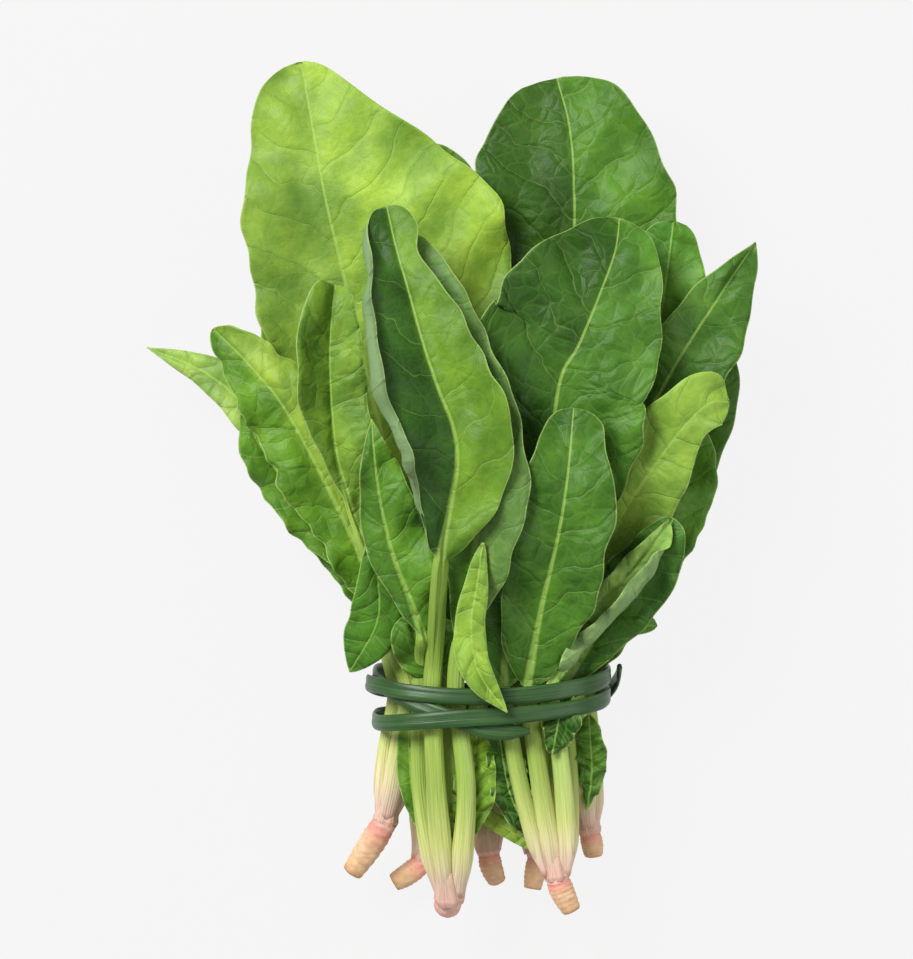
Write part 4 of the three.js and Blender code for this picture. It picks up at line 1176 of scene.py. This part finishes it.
# %% [markdown]
# ## Veins
# Side veins leave the rib every 5 to 15 mm, and the mesh says how far each place is from one. Between
# them lies a net of small veins, 6 to 7 mm across, as on a real leaf, and a finer one of 2 mm. A net
# is the edges of a Voronoi pattern that is shoved about by noise, so that it looks grown.

# %% Vein pattern
def vein_pattern(tree, tissue):
    """Where the veins of each size are, and the valleys and cushions between them, from 0 to 1."""
    places = node(tree, "UVMap", uv_map="veins")
    veins = node(tree, "SeparateXYZ", [places])
    spacing = node(tree, "Math", [veins.outputs["Y"], DM], operation="MULTIPLY")
    wander = node(tree, "TexNoise", {"Vector": tissue, "Scale": 9.0, "Detail": 2.0})
    bent = node(tree, "Math", [wander, 0.5, veins.outputs["X"]], operation="MULTIPLY_ADD")
    apart = node(tree, "Math", [bent, 0.5], operation="PINGPONG")
    vein_mm = node(tree, "Math", [apart, spacing], operation="MULTIPLY")

    shove = node(tree, "TexNoise", {"Vector": tissue, "Scale": 14.0, "Detail": 1.0})
    shoved = node(tree, "VectorMath", [shove.outputs["Color"], (0.05, 0.05, 0.0), tissue],
                  operation="MULTIPLY_ADD")
    net = node(tree, "TexVoronoi", {"Vector": shoved, "Scale": 15.0}, feature="DISTANCE_TO_EDGE")
    fine = node(tree, "TexVoronoi", {"Vector": shoved, "Scale": 55.0}, feature="DISTANCE_TO_EDGE")
    return {
        "side_vein": node(tree, "MapRange", [vein_mm, 0.1, 0.5, 1.0, 0.0], **SMOOTH),
        "side_valley": node(tree, "MapRange", [vein_mm, 0.1, 2.4, 1.0, 0.0], **SMOOTH),
        "net_vein": node(tree, "MapRange", [net, 0.015, 0.09, 1.0, 0.0], **SMOOTH),
        "cushion": node(tree, "MapRange", [net, 0.0, 0.42], **SMOOTH),
        "fine_vein": node(tree, "MapRange", [fine, 0.02, 0.2, 1.0, 0.0], **SMOOTH),
    }


# %% [markdown]
# ## The green sheet
# A blade is green in clouds: random bright yellow patches and deep ones, partly the leaf's own uneven
# tone and partly painted light and shade. Painted shade darkens the skin in the valleys beside the
# veins, and the veins themselves are paler. The underside is greyer, and the rib is pale, because it
# holds little green. The margin is pale too, partly its own thin tissue and partly a painted rim
# highlight.

# %% Green of a blade
def blade_green(tree, skin, place, veins, speck):
    """The colour of a blade from its leaf's own green, `skin`."""
    # random bright and deep patches: partly the leaf's own uneven tone, partly painted light and shade
    cloud = node(tree, "TexNoise", {"Vector": place["tissue"], "Scale": 4.5, "Detail": 3.0,
                                    "Roughness": 0.55})
    lit_patch_mask = node(tree, "MapRange", [cloud, 0.32, 0.7], **SMOOTH)
    shaded_deep_green = node(tree, "Mix", [1.0, skin, (0.5, 0.6, 0.32, 1)], **MULTIPLY)
    lit_bright_green = node(tree, "Mix", [1.0, skin, (1.15, 1.1, 0.6, 1)], **MULTIPLY)
    green = node(tree, "Mix", [lit_patch_mask, shaded_deep_green, lit_bright_green], **BLEND)
    mottle = node(tree, "Mix", [speck, (0.93, 0.94, 0.92, 1), (1.07, 1.06, 1.07, 1)], **BLEND)
    green = node(tree, "Mix", [1.0, green, mottle], **MULTIPLY)

    # painted shade in the valleys beside the side veins and along the small net veins
    valley_shade_green = node(tree, "Mix", [1.0, green, (0.66, 0.72, 0.62, 1)], **MULTIPLY)
    valley_shade_mask = node(tree, "Math", [veins["cushion"], -0.4, 0.4], operation="MULTIPLY_ADD")
    valley_shade_mask = node(tree, "Math", [veins["side_valley"], 0.5, valley_shade_mask], operation="MULTIPLY_ADD")
    valley_shade_mask = node(tree, "Math", [valley_shade_mask, place["pucker"]], operation="MULTIPLY")
    green = node(tree, "Mix", [valley_shade_mask, green, valley_shade_green], **BLEND)

    pale = node(tree, "Mix", [0.5, green, linear("#A4C266")], **BLEND)
    side = node(tree, "Math", [veins["side_vein"], 0.28], operation="MULTIPLY")
    quilted = node(tree, "Math", [place["pucker"], 0.2], operation="MULTIPLY")
    net = node(tree, "Math", [veins["net_vein"], quilted], operation="MULTIPLY")
    fine = node(tree, "Math", [veins["fine_vein"], 0.04], operation="MULTIPLY")
    line = node(tree, "Math", [side, net], operation="MAXIMUM")
    line = node(tree, "Math", [line, fine], operation="MAXIMUM")
    green = node(tree, "Mix", [line, green, pale], **BLEND)

    grey = node(tree, "Mix", [0.6, green, linear("#86A070")], **BLEND)
    green = node(tree, "Mix", [place["under"], green, grey], **BLEND)
    # a pale margin line, partly the margin's own tone and partly a painted rim highlight
    pale_margin_and_highlight = node(tree, "MapRange", [place["margin_mm"], 0.1, 0.5, 0.55, 0.0], **SMOOTH)
    green = node(tree, "Mix", [pale_margin_and_highlight, green, linear("#A9C56E")], **BLEND)
    on_rib = node(tree, "MapRange", [place["rib"], 0.4, 1.15, 0.6, 0.0], **SMOOTH)
    return node(tree, "Mix", [on_rib, green, linear("#98B955")], **BLEND)


# %% [markdown]
# ## The stalk
# A stalk is the same plant without the green sheet: juicy, ribbed along its length, pink at the crown,
# then cream, then yellow green. Its strands are 0.7 mm apart, so the noise for them is stretched along
# the stalk. Higher up it takes on some of its own leaf's green.

# %% Colour of a stalk
STALK_COLOURS = [(0.0, "#DDB0A2"), (0.05, "#DFC2B0"), (0.11, "#DED0A4"), (0.2, "#CCD080"),
                 (0.4, "#B6C862"), (0.9, "#A2BE52")]  # places are dm from the crown


def stalk_colour(tree, skin, place, strand):
    ramp = node(tree, "ValToRGB", {"Fac": place["from_crown"]})
    colour_stops(ramp, STALK_COLOURS)
    streak = node(tree, "MapRange", [strand, 0.3, 0.7], **SMOOTH)
    streaks = node(tree, "Mix", [streak, (0.76, 0.83, 0.7, 1), (1.08, 1.06, 1.08, 1)], **BLEND)
    stalk = node(tree, "Mix", [1.0, ramp, streaks], **MULTIPLY)
    tinted = node(tree, "MapRange", [place["from_crown"], 0.1, 0.4, 0.0, 0.35], **SMOOTH)
    return node(tree, "Mix", [tinted, stalk, skin], **BLEND)


# %% [markdown]
# ## Spinach skin
# A spinach leaf is a sheet of cells under a clear wax layer, so it has a soft broad gloss, and the
# underside is duller. The veins lie in fine grooves above and stand out below, so the relief changes
# its sign from one side to the other. It is at most a millimetre high: anything larger is in the mesh.

# %% Leaf material
def leaf_relief(tree, place, veins, dapple, strand, grown_blade):
    """The height of the skin over the mesh, in mm."""
    relief = node(tree, "Math", [veins["net_vein"], -0.15], operation="MULTIPLY")
    relief = node(tree, "Math", [veins["cushion"], 0.8, relief], operation="MULTIPLY_ADD")
    relief = node(tree, "Math", [veins["side_valley"], -0.7, relief], operation="MULTIPLY_ADD")
    relief = node(tree, "Math", [relief, place["pucker"]], operation="MULTIPLY")
    relief = node(tree, "Math", [veins["side_vein"], -0.15, relief], operation="MULTIPLY_ADD")
    relief = node(tree, "Math", [veins["fine_vein"], -0.03, relief], operation="MULTIPLY_ADD")
    relief = node(tree, "Math", [dapple, 0.05, relief], operation="MULTIPLY_ADD")
    turned = node(tree, "MapRange", [place["under"], 0.4, 0.6, 1.0, -1.0], **SMOOTH)
    relief = node(tree, "Math", [relief, turned], operation="MULTIPLY")
    relief = node(tree, "Math", [relief, grown_blade], operation="MULTIPLY")
    bare = node(tree, "Math", [1.0, grown_blade], operation="SUBTRACT")
    ribbing = node(tree, "Math", [strand, bare], operation="MULTIPLY")
    return node(tree, "Math", [ribbing, 0.6, relief], operation="MULTIPLY_ADD")


def leaf_material():
    material, tree, output = new_material("spinach_leaf_grown_and_waxy")
    skin = node(tree, "Attribute", attribute_name="skin").outputs["Color"]
    place = {}
    for name in ("under", "blade", "from_crown", "margin_mm", "rib", "pucker"):
        place[name] = node(tree, "Attribute", attribute_name=name).outputs["Fac"]
    place["tissue"] = node(tree, "UVMap", uv_map="tissue")
    dapple = node(tree, "TexNoise", {"Vector": place["tissue"], "Scale": 60.0, "Detail": 3.0,
                                     "Roughness": 0.6})
    speck = node(tree, "MapRange", [dapple, 0.3, 0.75], **SMOOTH)
    stretch = node(tree, "Mapping", {"Vector": place["tissue"], "Scale": (150.0, 4.0, 1.0)})
    strand = node(tree, "TexNoise", {"Vector": stretch, "Scale": 1.0, "Detail": 2.0})

    veins = vein_pattern(tree, place["tissue"])
    green = blade_green(tree, skin, place, veins, speck)
    stalk = stalk_colour(tree, skin, place, strand)
    grown_blade = node(tree, "MapRange", [place["blade"], 0.02, 0.35], **SMOOTH)
    colour = node(tree, "Mix", [grown_blade, stalk, green], **BLEND)
    relief = leaf_relief(tree, place, veins, dapple, strand, grown_blade)
    bump = node(tree, "Bump", {"Height": relief, "Distance": MM, "Strength": 0.9})
    rough = node(tree, "MapRange", [place["under"], 0.0, 1.0, 0.46, 0.62], **SMOOTH)
    rough = node(tree, "Math", [speck, 0.06, rough], operation="MULTIPLY_ADD")
    shader = node(tree, "BsdfPrincipled", {"Base Color": colour, "Roughness": rough, "IOR": 1.42,
                                           "Specular IOR Level": 0.3, "Normal": bump})
    tree.links.new(shader.outputs[0], output.inputs["Surface"])
    print(material.name, len(tree.nodes), "nodes")
    return material


# %% [markdown]
# ## Root skin
# The root's skin is a thin cork, pale at the very crown, red at the neck and tan below, with rings
# where it thickened and dark dots of side roots. The cut end has browned at its rim.

# %% Root material
ROOT_COLOURS = [(0.0, "#E0B4A8"), (0.08, "#DE9488"), (0.24, "#E0A68C"), (0.5, "#E2BC96"),
                (0.9, "#DAB389"), (1.0, "#C09263")]  # places are shares of the root's length


def root_material():
    material, tree, output = new_material("spinach_root_washed_and_cut")
    down = node(tree, "Attribute", attribute_name="down").outputs["Fac"]
    place = node(tree, "TexCoord").outputs["Object"]
    ramp = node(tree, "ValToRGB", {"Fac": down})
    colour_stops(ramp, ROOT_COLOURS)
    cloud = node(tree, "TexNoise", {"Vector": place, "Scale": 350.0, "Detail": 4.0})
    blotch = node(tree, "MapRange", [cloud, 0.35, 0.7], **SMOOTH)
    blotches = node(tree, "Mix", [blotch, (0.9, 0.86, 0.8, 1), (1.06, 1.05, 1.04, 1)], **BLEND)
    colour = node(tree, "Mix", [1.0, ramp, blotches], **MULTIPLY)
    dots = node(tree, "TexVoronoi", {"Vector": place, "Scale": 260.0})
    dot = node(tree, "MapRange", [dots, 0.08, 0.2, 0.35, 0.0], **SMOOTH)
    colour = node(tree, "Mix", [dot, colour, linear("#9A6A45")], **BLEND)
    rings = node(tree, "TexWave", {"Vector": place, "Scale": 120.0, "Distortion": 6.0, "Detail": 3.0},
                 bands_direction="Y")
    height = node(tree, "Math", [cloud, 0.8, rings.outputs["Fac"]], operation="MULTIPLY_ADD")
    bump = node(tree, "Bump", {"Height": height, "Distance": 0.2 * MM, "Strength": 0.5})
    shader = node(tree, "BsdfPrincipled", {"Base Color": colour, "Roughness": 0.6, "IOR": 1.45,
                                           "Normal": bump})
    tree.links.new(shader.outputs[0], output.inputs["Surface"])
    return material


# %% [markdown]
# ## Grass skin
# The grass blade has a smooth dark green skin with a bloom of wax and fine straight fibres along it,
# half a millimetre apart, drawn a little coarser so that they show.

# %% Grass material
def grass_material():
    material, tree, output = new_material("grass_blade_flattened")
    fibre = node(tree, "UVMap", uv_map="fibre")
    stretch = node(tree, "Mapping", {"Vector": fibre, "Scale": (190.0, 2.5, 1.0)})
    strand = node(tree, "TexNoise", {"Vector": stretch, "Scale": 1.0, "Detail": 2.0})
    patch = node(tree, "TexNoise", {"Vector": fibre, "Scale": 12.0, "Detail": 3.0})
    streak = node(tree, "MapRange", [strand, 0.3, 0.7], **SMOOTH)
    bloom = node(tree, "MapRange", [patch, 0.35, 0.7], **SMOOTH)
    bloom = node(tree, "Math", [bloom, 0.2], operation="MULTIPLY")
    base = node(tree, "Mix", [streak, linear("#203E18"), linear("#325826")], **BLEND)
    colour = node(tree, "Mix", [bloom, base, linear("#446C3A")], **BLEND)
    bump = node(tree, "Bump", {"Height": strand, "Distance": 0.3 * MM, "Strength": 0.5})
    shader = node(tree, "BsdfPrincipled", {"Base Color": colour, "Roughness": 0.38, "IOR": 1.45,
                                           "Normal": bump})
    tree.links.new(shader.outputs[0], output.inputs["Surface"])
    return material


# %% [markdown]
# ## Putting the plants together
# All leaves of a plant and its crown are one living body, so they are joined to one piece, which
# stands for the plant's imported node. The root is a piece of its own.

# %% Plants
def joined(pieces, name):
    bpy.ops.object.select_all(action="DESELECT")
    for piece in pieces:
        piece.select_set(True)
    bpy.context.view_layer.objects.active = pieces[0]
    bpy.ops.object.join()
    whole = bpy.context.object
    whole.name = name
    whole.data.name = name
    return whole


def finish_piece(piece, material, node_name):
    piece.data.materials.clear()
    piece.data.materials.append(material)
    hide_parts(node_name)
    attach(piece, "root")
    print(piece.name, len(piece.data.polygons), "faces")


leaf_skin = leaf_material()
root_skin = root_material()
for plant, sheets in grown.items():
    foliage = joined(sheets, f"plant_{plant}_foliage")
    finish_piece(foliage, leaf_skin, f"plant_{plant}_leaves")
    finish_piece(root_object(plant), root_skin, f"plant_{plant}_root")
finish_piece(tie_object(), grass_material(), "tie_grass_blade")

# %% [markdown]
# ## Table
# The bunch lies on a plain pale table of milky acrylic that is lit from below, as shops use to keep
# shadows off the ground. It is mostly glow, so it stays even and nearly white, with a faint shadow.

# %% Table
TABLE_SIZE = 6  # metres
TABLE_UNDER = 0.2 * MM  # under the lowest leaf


def table():
    bpy.ops.object.select_all(action="DESELECT")
    bpy.ops.mesh.primitive_plane_add(size=TABLE_SIZE, location=(0, 0, -TABLE_UNDER))
    top = bpy.context.object
    top.name = "table"
    bpy.ops.object.transform_apply(location=True)
    material, tree, output = new_material("table_milky_acrylic_lit_from_below")
    place = node(tree, "TexCoord").outputs["Object"]
    grain = node(tree, "TexNoise", {"Vector": place, "Scale": 40.0, "Detail": 4.0})
    rough = node(tree, "MapRange", [grain, 0.3, 0.7, 0.7, 0.8], **SMOOTH)
    shader = node(tree, "BsdfPrincipled", {"Base Color": linear("#DCDCDC"), "Roughness": rough,
                                           "IOR": 1.45})
    glow = node(tree, "Emission", {"Color": linear("#F5F5F5"), "Strength": 1.0})
    lit = node(tree, "MixShader", [0.96, shader, glow])
    tree.links.new(lit.outputs[0], output.inputs["Surface"])
    top.data.materials.append(material)
    print("table", material.name)


table()

# %% [markdown]
# ## Light
# Two large soft boxes light the bunch from above, the strong one from the upper left, so that the
# folds of the leaves fall off gently to the right. A white room fills in the rest.

# %% Light
def soft_box(name, place, size, watts):
    bpy.ops.object.light_add(type="AREA", location=place)
    box = bpy.context.object
    box.name = name
    box.data.shape = "SQUARE"
    box.data.size = size
    box.data.energy = watts
    towards = -np.array(place)
    box.rotation_euler = (math.atan2(math.hypot(towards[0], towards[1]), -towards[2]), 0,
                          math.atan2(-towards[0], towards[1]))
    print(name, size, "m", watts, "W")


soft_box("soft_box_upper_left", (-0.9, 0.9, 1.5), 0.8, 47)
soft_box("soft_box_right", (1.3, -0.2, 1.2), 1.2, 8)
world = bpy.data.worlds.new("studio")
bpy.context.scene.world = world
world.use_nodes = True
background = world.node_tree.nodes["Background"]
background.inputs["Color"].default_value = (1, 1, 1, 1)
background.inputs["Strength"].default_value = 0.38
bpy.context.scene.view_settings.view_transform = "Standard"

# %% [markdown]
# ## Camera
# The camera hangs over the bunch with a long lens, which keeps high and low leaves at nearly one
# scale. Its lens is worked out from the picture's scale in pixels per millimetre.

# %% Camera
PICTURE = (913, 959)  # pixels
PIXELS_PER_MM = 3.0
MIDDLE = (2.0, 3.3)  # of the picture, in mm in the frame
HEIGHT = 2300.0  # of the lens over the middle of the bunch, mm
BUNCH_MIDDLE_Z = 50.0

bpy.ops.object.camera_add(location=(MIDDLE[0] * MM, MIDDLE[1] * MM, (HEIGHT + BUNCH_MIDDLE_Z) * MM))
camera = bpy.context.object
camera.name = "camera"
camera.rotation_euler = (0, 0, 0)
camera.data.sensor_width = 36
camera.data.lens = 36 * HEIGHT / (max(PICTURE) / PIXELS_PER_MM)
camera.data.clip_end = 20
bpy.context.scene.camera = camera
print("lens", round(camera.data.lens, 1))

# %% [markdown]
# Last, the scene is brought up to date. The dressed bunch has to stay inside the imported
# one's box.

# %% End
bpy.context.view_layer.update()
